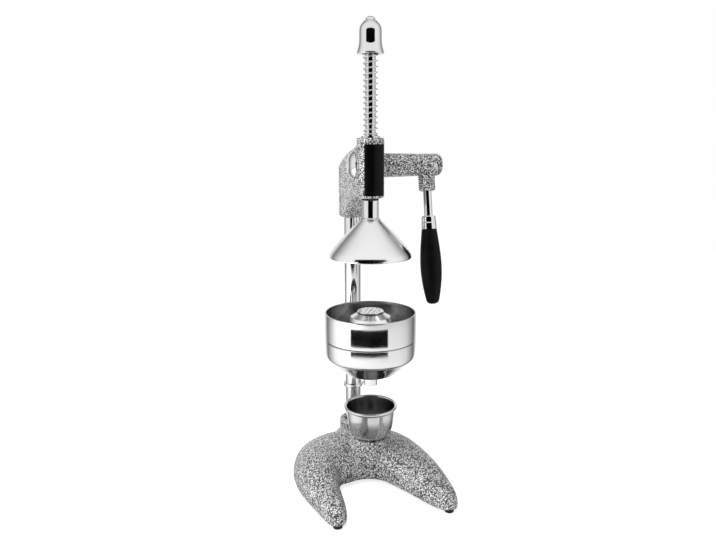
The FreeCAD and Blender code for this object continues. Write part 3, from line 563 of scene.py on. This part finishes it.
def cast_copy(name: str, node: str, voxel: float, smoothing: int) -> bpy.types.Object:
    """Copy a casting and soften it as a sand casting's edges are.

    Args:
        name: The new piece's name.
        node: The plain node to copy.
        voxel: Grid size in mm of the new skin.
        smoothing: How many times the skin is relaxed.

    Returns:
        The softened casting.
    """
    make_active(frame["nodes"][node])
    bpy.ops.object.duplicate()
    piece = bpy.context.active_object
    piece.name = name
    bpy.ops.object.parent_clear(type="CLEAR_KEEP_TRANSFORM")
    piece.modifiers.clear()
    bpy.ops.object.mode_set(mode="EDIT")
    weld(0.001)
    bpy.ops.object.mode_set(mode="OBJECT")
    grid = piece.modifiers.new("grid", "REMESH")
    grid.mode = "VOXEL"
    grid.voxel_size = voxel * MM
    grid.use_smooth_shade = True
    relax = piece.modifiers.new("relax", "SMOOTH")
    relax.factor = 0.5
    relax.iterations = smoothing
    apply_modifiers(piece)
    piece.data.materials.clear()
    return piece


def inner_faces(reach: float, low: float, upward: float) -> FaceTest:
    """Make a test that picks the faces inside a vessel on the press axis.

    Args:
        reach: Largest distance of the face from the axis, in mm.
        low: Lowest height of the face, in mm.
        upward: A face whose normal points up more than this counts, whichever way it leans.

    Returns:
        A test of a face's centre in mm and its normal.
    """
    def inside(spot: Vector, normal: Vector) -> bool:
        """Tell whether this face is inside.

        Args:
            spot: The face's centre in mm.
            normal: The face's normal.

        Returns:
            Whether it belongs to the inside.
        """
        out = Vector((spot.x, spot.y - PRESS_Y))
        return out.length < reach and spot.z > low and (normal.z > upward or normal.xy.dot(out) < 0)
    return inside


def paint_faces(piece: bpy.types.Object, finish: Finish, inside: FaceTest) -> None:
    """Give some faces of a piece a second finish.

    Args:
        piece: A piece that has its first finish.
        finish: The second finish.
        inside: A test of a face's centre in mm and its normal.
    """
    piece.data.materials.append(finish.material())
    index = len(piece.data.materials) - 1
    for face in piece.data.polygons:
        if inside(face.center / MM, face.normal):
            face.material_index = index


@dataclass
class Stand:
    """Base, column and head castings with what is fixed to them."""

    base_grid: float = 1.7
    base_relax: int = 14
    head_grid: float = 1.1
    head_relax: int = 6
    column_radius: float = 12.5
    column_low: float = 20.0
    column_high: float = 440.0
    cap_radius: float = 19.3
    cap_seat: float = -19.0
    cap_plug: float = 9.0
    cap_rise: float = 7.5
    collar_radius: float = 15.5
    collar_low: float = 98.0
    collar_high: float = 102.6

    def base(self) -> None:
        """The horseshoe casting with its cup platform and column boss."""
        piece = cast_copy("base_cast", "base_casting", self.base_grid, self.base_relax)
        hand_over(piece, Body.STAND, Slot.HAMMERTONE, "base_casting")

    def head(self) -> None:
        """The head casting with the rack tube, web and arm."""
        piece = cast_copy("head_cast", "head_casting", self.head_grid, self.head_relax)
        hand_over(piece, Body.STAND, Slot.HAMMERTONE, "head_casting")

    def column(self) -> None:
        """The ground column."""
        r, low, high = self.column_radius, self.column_low, self.column_high
        piece = lathe("column_bar", [(0, low), (r, low, 0.8), (r, high, 0.8), (0, high)], closed=False)
        stand_at(piece, COLUMN_FOOT)
        hand_over(piece, Body.STAND, Slot.CHROME, "column")

    def side_cap(self) -> None:
        """The domed cover over the pinion's side opening."""
        r, rise, plug = self.cap_radius, self.cap_rise, self.cap_plug
        outline = [(0, 0), (r - 0.8, 0), (r - 0.8, plug), (r, plug, 0.2), (r, plug + 1.2, 0.7),
                   (r - 5, plug + rise * 0.72, 6), (r - 11, plug + rise, 6), (0, plug + rise)]
        piece = lathe("side_dome", outline, closed=False)
        spot = Vector((self.cap_seat + plug, PIVOT.y, PIVOT.z))
        stand_at(piece, spot, Matrix.Rotation(-math.pi / 2, 3, "Y"))
        hand_over(piece, Body.STAND, Slot.CHROME, "side_cap")

    def collar(self) -> None:
        """The thin ring clamped on the column."""
        bore, r, low, high = self.column_radius, self.collar_radius, self.collar_low, self.collar_high
        outline = [(bore, low), (r, low, 0.8), (r, high, 0.8), (bore, high)]
        piece = stand_at(lathe("collar_ring", outline), COLUMN_FOOT)
        hand_over(piece, Body.STAND, Slot.CHROME, "stop_collar")

    def build(self) -> None:
        """Make every piece of the stand."""
        self.base()
        self.head()
        self.column()
        self.side_cap()
        self.collar()


@dataclass
class ReturnSpring:
    """The wound wire spring over the toothed shaft."""

    low: float = 487.5
    rise: float = 129.0
    coil_radius: float = 9.0
    wire_radius: float = 1.0
    middle_turns: float = 17.25
    end_turns: float = 1.0
    end_pitch: float = 2.6
    travel: float = 80.0
    points_per_turn: int = 24
    wire_sides: int = 14

    def steep(self) -> float:
        """Climb of the open turns.

        Returns:
            The climb in one turn, in mm.
        """
        return (self.rise - 2 * self.end_turns * self.end_pitch) / self.middle_turns

    def height(self, turn: float) -> float:
        """Height of the wire's centre after this many turns.

        Args:
            turn: Turns from the lower end.

        Returns:
            The height above the lower end, in mm.
        """
        middle = min(max(turn - self.end_turns, 0.0), self.middle_turns)
        return (turn - middle) * self.end_pitch + middle * self.steep()

    def section(self, first: float, turns: float, pitch: float) -> bpy.types.Object:
        """Wind one stretch of wire with an even pitch.

        Args:
            first: Turns below this stretch.
            turns: Turns in it.
            pitch: Climb in one turn, in mm.

        Returns:
            The stretch as an open tube.
        """
        deselect()
        spot = (self.coil_radius * MM, 0, (self.low + self.height(first)) * MM)
        bpy.ops.mesh.primitive_circle_add(vertices=self.wire_sides, radius=self.wire_radius * MM,
                                          location=spot, rotation=(math.pi / 2, 0, 0))
        wire = bpy.context.active_object
        settle(wire)
        wind = wire.modifiers.new("wind", "SCREW")
        wind.angle = 2 * math.pi * turns
        wind.screw_offset = pitch * turns * MM
        wind.steps = wind.render_steps = round(turns * self.points_per_turn)
        apply_modifiers(wire)
        return stand_at(wire, PRESS_FOOT, Matrix.Rotation(2 * math.pi * first, 3, "Z"))

    def build(self) -> None:
        """Wind the wire and fix it to the stand."""
        stretches = [(0.0, self.end_turns, self.end_pitch), (self.end_turns, self.middle_turns, self.steep()),
                     (self.end_turns + self.middle_turns, self.end_turns, self.end_pitch)]
        parts = [self.section(*stretch) for stretch in stretches]
        make_active(parts[0])
        for part in parts:
            part.select_set(True)
        bpy.ops.object.join()
        wire = bpy.context.active_object
        wire.name = "spring_wire"
        bpy.ops.object.mode_set(mode="EDIT")
        weld(0.05)
        bpy.ops.mesh.fill_holes(sides=0)
        close_shell(WIRE_CREASE)
        dress(wire, CHROME)
        hand_over(wire, Body.STAND, Slot.STEEL, "return_spring")
        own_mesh(wire)


@dataclass
class Plunger:
    """The toothed shaft's cap, hub and bell."""

    shaft_radius: float = 7.0
    cap_low: float = 591.4
    cap_roof: float = 619.8
    cap_high: float = 638.2
    cap_skirt: float = 18.2
    cap_body: float = 15.0
    cap_bore: float = 11.2
    hub_low: float = 374.7
    hub_high: float = 401.4
    hub_radius: float = 11.5
    bell_rim: float = 322.6
    bell_crown: float = 364.7
    bell_radius: float = 56.9

    def cap(self) -> None:
        """The bell-mouthed cap on top."""
        low, roof, high = self.cap_low, self.cap_roof, self.cap_high
        bore, skirt, body = self.cap_bore, self.cap_skirt, self.cap_body
        outline = [(bore, low + 0.6), (bore, low, 0.5), (skirt, low, 0.7), (skirt, low + 1.6, 1.2),
                   (16.9, low + 6.1, 3), (15.3, low + 12.1, 4), (body, low + 20.6, 6), (body, low + 30.1, 4),
                   (13.6, high - 11.2, 3), (8.9, high - 6, 0.8), (6.7, high - 4.8, 0.6), (6.1, high - 2, 1.8),
                   (2.6, high, 2.0), (0, high), (0, roof), (10.4, roof, 1), (bore, roof - 2.3, 1)]
        piece = lathe("cap_bell", outline, closed=False)
        stand_at(piece, PRESS_FOOT)
        hand_over(piece, Body.PLUNGER, Slot.CHROME, "top_cap")

    def hub(self) -> None:
        """The turned collar between tube and bell."""
        bore, r, low, high = self.shaft_radius, self.hub_radius, self.hub_low, self.hub_high
        outline = [(bore, low), (r + 2.5, low, 0.5), (r + 2.5, low + 1.5, 0.8), (r, low + 2.7, 0.8),
                   (r, high, 0.6), (bore, high)]
        piece = stand_at(lathe("hub_sleeve", outline), PRESS_FOOT)
        hand_over(piece, Body.PLUNGER, Slot.CHROME, "bell_hub")

    def bell(self) -> None:
        """The cast pressing bell."""
        top, rim, crown = self.hub_low, self.bell_rim, self.bell_crown
        bore, r = self.shaft_radius, self.bell_radius
        outline = [(bore, top), (14.1, top, 1.2), (26.5, rim + 39.9, 8), (39, rim + 27.4, 9),
                   (49, rim + 16, 8), (55.2, rim + 7.6, 5), (r, rim + 2.8, 3), (r, rim, 0.9),
                   (r - 3, rim, 0.9), (r - 3.3, rim + 3.4, 3), (48.4, rim + 11.4, 8), (37, rim + 25, 9),
                   (24, rim + 38.8, 4), (16, crown, 3), (bore, crown)]
        piece = stand_at(lathe("bell_cast", outline), PRESS_FOOT)
        hand_over(piece, Body.PLUNGER, Slot.ALUMINIUM, "press_bell")

    def build(self) -> None:
        """Make every piece of the plunger."""
        self.cap()
        self.hub()
        self.bell()


@dataclass
class Bowls:
    """Strainer bowl, funnel bowl and spout."""

    radius: float = 64.8
    wall: float = 1.5
    rim: float = 244.3
    floor: float = 203.0
    hole_radius: float = 27.0
    funnel_high: float = 205.5
    funnel_low: float = 155.7
    spout_low: float = 136.6
    spout_radius: float = 10.0

    def strainer(self) -> None:
        """The lift-off bowl with its polished outside and satin inside."""
        r, rim, floor, hole = self.radius, self.rim, self.floor, self.hole_radius
        outline = [(hole, floor), (60.2, floor, 1.4), (62.2, floor + 2, 0.5), (62.2, floor + 3.3),
                   (63.9, floor + 3.3, 0.4), (64.6, floor + 4.2, 0.5), (r, floor + 11, 5), (r, rim - 8.3, 5),
                   (r - 0.4, rim - 1.1, 0.6), (r - 0.5, rim, 0.5), (r - 2.7, rim - 0.1, 0.8),
                   (r - 2.5, rim - 2.1, 0.7), (r - self.wall, rim - 3.1, 0.6), (r - self.wall, floor + 8, 3),
                   (60.7, floor + 3.6, 2), (57, floor + self.wall, 2), (hole, floor + self.wall)]
        piece = stand_at(lathe("strainer_pan", outline), PRESS_FOOT)
        dress(piece, STAINLESS)
        paint_faces(piece, SATIN, inner_faces(r - 1.2, floor + 0.8, 0.5))
        hand_over(piece, Body.STRAINER, Slot.STAINLESS, "upper_bowl")

    def funnel(self) -> None:
        """The fixed funnel bowl."""
        r, low, high, drain = self.radius - 0.3, self.funnel_low, self.funnel_high, self.spout_radius
        outline = [(drain, low), (34.9, low, 1.6), (37.6, low + 1.9, 1.2), (57.2, low + 20.3, 0.5),
                   (62.8, low + 24.5, 5), (r - 0.25, low + 30.8, 5), (r, high - 0.6, 0.5),
                   (r - 0.6, high, 0.3), (r - self.wall, high, 0.3), (62.8, low + 31.7, 4),
                   (61.4, low + 25.9, 4), (56.2, low + 21.7, 2), (36.8, low + 3.5, 1.5),
                   (33.9, low + self.wall, 1), (drain, low + self.wall)]
        piece = stand_at(lathe("funnel_pan", outline), PRESS_FOOT)
        hand_over(piece, Body.STAND, Slot.STAINLESS, "funnel_bowl")

    def spout(self) -> None:
        """The short drain tube."""
        outer, inner = self.spout_radius, self.spout_radius - self.wall
        low, high = self.spout_low, self.funnel_low + self.wall
        outline = [(inner, low + 0.8), (inner, low, 0.3), (outer, low, 0.3), (outer, high), (inner, high)]
        piece = stand_at(lathe("spout_tube", outline, steps=SMALL_STEPS), PRESS_FOOT)
        hand_over(piece, Body.STAND, Slot.STAINLESS, "funnel_spout")

    def build(self) -> None:
        """Make the bowls."""
        self.strainer()
        self.funnel()
        self.spout()


@dataclass
class Cup:
    """The small juice cup with its rolled rim."""

    low: float = 57.1
    rim: float = 105.7
    foot_radius: float = 20.0
    rim_radius: float = 38.6

    def build(self) -> None:
        """Make the cup: polished outside, and inside a darker grey that is painted shade."""
        low, rim, foot, r = self.low, self.rim, self.foot_radius, self.rim_radius
        outline = [(0, low + 0.8), (foot - 6, low + 0.8, 1), (foot - 4, low, 0.8), (foot, low, 3),
                   (27.2, low + 4.8, 4), (31.6, low + 14, 6), (33.6, low + 28, 6), (r - 3.6, rim - 5.3, 1.2),
                   (r - 1.6, rim - 4.3, 1), (r, rim - 3.1, 1.2), (r, rim - 0.8, 1), (r - 1.8, rim, 0.8),
                   (r - 4.2, rim - 1.3, 1.4), (32.4, low + 28, 6), (30.4, low + 15, 6), (26.2, low + 6.4, 4),
                   (foot - 0.6, low + 1.6, 3), (0, low + 1.8)]
        piece = stand_at(lathe("cup_spun", outline, closed=False), PRESS_FOOT)
        dress(piece, STAINLESS)
        # Painted shade: the faces inside the cup take the darker grey
        paint_faces(piece, SHADED, inner_faces(r - 4, low + 1, 0.3))
        hand_over(piece, Body.CUP, Slot.STAINLESS, "juice_cup")


@dataclass
class Lever:
    """Lever head, rod, ferrule and grip."""

    head_grid: float = 0.8
    head_relax: int = 5
    rod_radius: float = 6.0
    rod_start: float = 19.0
    rod_length: float = 132.0
    ferrule_top: float = 72.5
    ferrule_radius: float = 10.8
    grip_top: float = 91.0
    grip_radius: float = 15.15
    grip_length: float = 106.0

    def on_lever(self, piece: bpy.types.Object, along: float) -> bpy.types.Object:
        """Stand a piece on the lever's axis.

        Args:
            piece: The piece, made upright at the origin.
            along: Its distance from the pivot, in mm.

        Returns:
            The piece in its place.
        """
        forward, down = along * math.sin(LEVER_LEAN), along * math.cos(LEVER_LEAN)
        spot = Vector((LEVER_X, PIVOT.y - forward, PIVOT.z - down))
        return stand_at(piece, spot, Matrix.Rotation(math.pi - LEVER_LEAN, 3, "X"))

    def head(self) -> None:
        """The barrel and socket casting."""
        piece = cast_copy("lever_cast", "lever_head", self.head_grid, self.head_relax)
        hand_over(piece, Body.LEVER, Slot.HAMMERTONE, "lever_head")

    def rod(self) -> None:
        """The bright rod."""
        r, end = self.rod_radius, self.rod_length
        outline = [(0, 0), (r, 0, 0.5), (r, end, 0.5), (0, end)]
        piece = lathe("rod_bar", outline, closed=False, steps=SMALL_STEPS)
        hand_over(self.on_lever(piece, self.rod_start), Body.LEVER, Slot.CHROME, "lever_rod")

    def ferrule(self) -> None:
        """The open metal cup on top of the grip."""
        bore, r, end = self.rod_radius, self.ferrule_radius, self.grip_top - self.ferrule_top
        outline = [(bore, end), (bore, 6), (r - 2.6, 6, 0.6), (r - 2.6, 0.4, 0.5), (r - 1, 0, 0.7),
                   (r - 0.6, 2.4, 0.8), (r - 0.5, 9, 0.6), (r, 10, 0.5), (r, end)]
        piece = self.on_lever(lathe("ferrule_cup", outline), self.ferrule_top)
        hand_over(piece, Body.LEVER, Slot.CHROME, "ferrule")

    def grip(self) -> None:
        """The long black handle."""
        r, end = self.grip_radius, self.grip_length
        outline = [(self.rod_radius, 0), (self.ferrule_radius - 0.2, 0, 0.7), (13.2, 20, 12),
                   (r - 0.05, 42, 12), (r, 62, 10), (13.2, 80, 9), (10.3, 96.5, 6), (8.6, 103.2, 3),
                   (4.6, end, 2.5), (0, end)]
        piece = self.on_lever(lathe("grip_handle", outline, closed=False), self.grip_top)
        hand_over(piece, Body.LEVER, Slot.GRIP, "grip")

    def build(self) -> None:
        """Make every piece of the lever."""
        self.head()
        self.rod()
        self.ferrule()
        self.grip()


@dataclass
class Studio:
    """Floor, soft light, dark cards for the mirrors, and the camera."""

    distance: float = 0.885
    height: float = 0.4826
    yaw: float = math.radians(16.0)
    pitch: float = math.radians(11.4)
    lens: float = 32.63
    axis_shift: float = -12.5 / 716
    fill: float = 0.62
    floor_radius: float = 2.4
    floor_white: float = 0.6
    floor_glow: float = 1.3
    paper: str = "#f6f6f6"
    card_grey: str = "#040404"
    card_level: float = 0.004
    aim_height: float = 0.3

    def camera(self) -> None:
        """The photograph's viewpoint."""
        deselect()
        aside, back = self.distance * math.sin(self.yaw), self.distance * math.cos(self.yaw)
        spot = (-aside, PRESS_Y * MM - back, self.height)
        bpy.ops.object.camera_add(location=spot, rotation=(math.pi / 2 - self.pitch, 0, -self.yaw))
        camera = bpy.context.active_object
        camera.data.lens = self.lens
        camera.data.shift_x = self.axis_shift
        camera.data.clip_start = 0.01
        bpy.context.scene.camera = camera

    def surround(self, tree: bpy.types.NodeTree, way: bpy.types.NodeSocket) -> bpy.types.Node:
        """What a mirror meets in each direction: white in front, a grey band beside and behind.

        Args:
            tree: The node tree to build in.
            way: The direction, as seen from the press.

        Returns:
            The ramp node.
        """
        ahead = (math.sin(self.yaw), math.cos(self.yaw), 0.0)
        along = add(tree, "ShaderNodeVectorMath", {0: way, 1: ahead}, operation="DOT_PRODUCT")
        place = add(tree, "ShaderNodeMapRange", {"Value": along.outputs["Value"], "From Min": -1.0})
        return ramp(tree, place.outputs["Result"], [(0.0, "#fafafa"), (0.34, "#ffffff"), (0.55, "#f0f0f0"),
                                                    (0.72, "#b4b4b4"), (0.83, "#747474"), (0.93, "#f0f0f0")])

    def world(self) -> None:
        """A white surround, greyer beside and behind the press so that mirrors show their form."""
        world = bpy.data.worlds.new("surround")
        bpy.context.scene.world = world
        world.use_nodes = True
        tree = world.node_tree
        tree.nodes.clear()
        path = add(tree, "ShaderNodeLightPath")
        band = self.surround(tree, add(tree, "ShaderNodeTexCoord").outputs["Generated"])
        lifted = add(tree, "ShaderNodeMix", {"Factor": path.outputs["Is Glossy Ray"], 6: linear("#ffffff"),
                                             7: band.outputs["Color"]}, data_type="RGBA")
        seen = add(tree, "ShaderNodeMath", {0: path.outputs["Is Camera Ray"],
                                            1: path.outputs["Is Glossy Ray"]}, operation="MAXIMUM")
        strength = add(tree, "ShaderNodeMapRange", {"Value": seen.outputs[0], "To Min": self.fill,
                                                    "To Max": 1.0})
        light = add(tree, "ShaderNodeBackground", {"Color": lifted.outputs[2],
                                                   "Strength": strength.outputs["Result"]})
        add(tree, "ShaderNodeOutputWorld", {"Surface": light.outputs["Background"]})

    def floor(self) -> None:
        """A pale floor that keeps a soft shadow; mirrors see it with a painted shadow round the press and a
        painted grey band beside and behind it.
        """
        deselect()
        bpy.ops.mesh.primitive_circle_add(vertices=96, radius=self.floor_radius, fill_type="NGON")
        plane = bpy.context.active_object
        plane.name = "floor"
        material = bpy.data.materials.new("pale_floor_with_painted_shadow")
        material.use_nodes = True
        tree = material.node_tree
        tree.nodes.clear()
        path = add(tree, "ShaderNodeLightPath")
        share = add(tree, "ShaderNodeMath", {0: path.outputs["Is Camera Ray"], 1: self.floor_white},
                    operation="MULTIPLY")
        place = add(tree, "ShaderNodeTexCoord").outputs["Object"]
        reach = add(tree, "ShaderNodeVectorMath", {0: place}, operation="LENGTH")
        # Painted shadow for mirrors: mid grey within 0.12 m of the floor's centre under the press, fading to
        # the paper colour by 0.18 m
        near = ramp(tree, reach.outputs["Value"], [(0.12, "#7e7e7e"), (0.18, self.paper)])
        # Painted reflection shade: the surround's grey band beside and behind the press, laid on the floor
        # for mirrors
        way = add(tree, "ShaderNodeVectorMath", {0: place}, operation="NORMALIZE")
        far = self.surround(tree, way.outputs["Vector"])
        shade = add(tree, "ShaderNodeMix", {"Factor": 1.0, 6: near.outputs["Color"], 7: far.outputs["Color"]},
                    data_type="RGBA", blend_type="MULTIPLY")
        # Only glossy rays see the painted shadow and band; other rays see the plain paper colour
        seen = add(tree, "ShaderNodeMix", {"Factor": path.outputs["Is Glossy Ray"], 6: linear(self.paper),
                                           7: shade.outputs[2]}, data_type="RGBA")
        matt = add(tree, "ShaderNodeBsdfDiffuse", {"Color": seen.outputs[2]})
        white = add(tree, "ShaderNodeEmission", {"Color": linear("#ffffff"), "Strength": self.floor_glow})
        both = add(tree, "ShaderNodeMixShader", {"Fac": share.outputs[0], 1: matt.outputs[0],
                                                 2: white.outputs[0]})
        add(tree, "ShaderNodeOutputMaterial", {"Surface": both.outputs[0]})
        plane.data.materials.append(material)

    def lamp(self, spot: tuple[float, float, float], size: tuple[float, float], power: float) -> None:
        """A soft rectangular lamp that faces the press.

        Args:
            spot: Where it hangs, in metres.
            size: Its width and height in metres.
            power: Its power in watts.
        """
        deselect()
        bpy.ops.object.light_add(type="AREA", location=spot)
        lamp = bpy.context.active_object
        lamp.data.shape = "RECTANGLE"
        lamp.data.size, lamp.data.size_y = size
        lamp.data.energy = power
        lamp.visible_glossy = False
        aim = Vector((0, 0, self.aim_height)) - Vector(spot)
        lamp.rotation_euler = aim.to_track_quat("-Z", "Y").to_euler()

    def card(self, name: str, spot: tuple[float, float, float], size: tuple[float, float]) -> None:
        """A dark card that stands facing the press.

        Args:
            name: The card's name.
            spot: Its middle, in metres.
            size: Its width and height in metres.
        """
        deselect()
        bpy.ops.mesh.primitive_plane_add(size=1, location=spot)
        card = bpy.context.active_object
        card.scale = (size[0], size[1], 1)
        aim = Vector((0, 0, spot[2])) - Vector(spot)
        card.rotation_euler = aim.to_track_quat("Z", "Y").to_euler()
        self.blacken(card, name)

    def sector(self, name: str, reach: tuple[float, float], spread: tuple[float, float]) -> None:
        """A dark card on the floor, cut as part of a ring round the press.

        Args:
            name: The card's name.
            reach: Its inner and outer radius in metres.
            spread: Its left and right end, in degrees from the camera's direction.
        """
        left, right = (math.radians(-90 + angle) - self.yaw for angle in spread)
        start = Vector((math.cos(left), math.sin(left), 0))
        card = first_point(start * reach[0] + Vector((0, 0, self.card_level)))
        bpy.ops.mesh.extrude_vertices_move(TRANSFORM_OT_translate={"value": start * (reach[1] - reach[0])})
        bpy.ops.mesh.select_all(action="SELECT")
        bpy.ops.mesh.spin(steps=48, angle=left - right, center=(0, 0, 0), axis=(0, 0, 1))
        bpy.ops.object.mode_set(mode="OBJECT")
        self.blacken(card, name)

    def blacken(self, card: bpy.types.Object, name: str) -> None:
        """Make a piece a dark card that only mirrors see.

        Args:
            card: The piece.
            name: Its name.
        """
        card.name = name
        material = bpy.data.materials.new(name)
        material.use_nodes = True
        tree = material.node_tree
        tree.nodes.clear()
        dark = add(tree, "ShaderNodeEmission", {"Color": linear(self.card_grey), "Strength": 1.0})
        add(tree, "ShaderNodeOutputMaterial", {"Surface": dark.outputs[0]})
        card.data.materials.append(material)
        card.visible_camera = card.visible_diffuse = card.visible_shadow = False

    def build(self) -> None:
        """Set up the studio."""
        bpy.context.scene.view_settings.view_transform = "Standard"
        self.world()
        self.floor()
        self.lamp((-0.5, -0.1, 1.9), (1.4, 1.2), 22.0)
        self.lamp((-1.6, -0.5, 0.8), (0.9, 1.4), 24.0)
        self.card("card_upright", (-0.225, -0.78, 0.32), (1.08, 0.41))
        self.card("card_high", (-0.225, -0.78, 0.75), (1.6, 0.45))
        self.sector("card_low", (0.6, 1.0), (-48, 42))
        self.camera()


def dress_nodes() -> None:
    """Give every carried-over node the finish of its slot."""
    slots = {part["node"]: part["material_slot"] for part in frame["record"]["subparts"]}
    for name, node in frame["nodes"].items():
        finish = FINISH_OF_SLOT[Slot(slots[name])]
        if not node.material_slots:
            node.data.materials.append(None)
        for place in node.material_slots:
            place.link = "OBJECT"
            place.material = finish.material()


def smooth_nodes() -> None:
    """Shade the carried-over nodes smooth but for their sharp edges, so round faces show no flats."""
    tree = bpy.data.node_groups.new("smooth_by_angle", "GeometryNodeTree")
    for way in ("INPUT", "OUTPUT"):
        tree.interface.new_socket("Geometry", in_out=way, socket_type="NodeSocketGeometry")
    entry = add(tree, "NodeGroupInput")
    merged = add(tree, "GeometryNodeMergeByDistance", {"Geometry": entry.outputs[0],
                                                         "Distance": NODE_WELD * MM})
    plain = add(tree, "GeometryNodeRemoveAttribute", {"Geometry": merged.outputs[0], "Name": "custom_normal"})
    faces = add(tree, "GeometryNodeSetShadeSmooth", {"Geometry": plain.outputs[0]}, domain="FACE")
    angle = add(tree, "GeometryNodeInputMeshEdgeAngle")
    gentle = add(tree, "ShaderNodeMath", {0: angle.outputs["Unsigned Angle"], 1: math.radians(NODE_CREASE)},
                 operation="LESS_THAN")
    edges = add(tree, "GeometryNodeSetShadeSmooth", {"Geometry": faces.outputs[0],
                                                     "Shade Smooth": gentle.outputs[0]}, domain="EDGE")
    add(tree, "NodeGroupOutput", {0: edges.outputs[0]})
    for node in frame["nodes"].values():
        node.modifiers.new("smooth_by_angle", "NODES").node_group = tree


def main() -> None:
    """Dress the press and set up the studio."""
    logging.basicConfig(level=logging.INFO, format="%(name)s: %(message)s")
    dress_nodes()
    for assembly in (Stand(), ReturnSpring(), Plunger(), Bowls(), Cup(), Lever()):
        assembly.build()
        LOG.info("%s done", type(assembly).__name__)
    smooth_nodes()
    Studio().build()


if __name__ == "__main__":
    main()
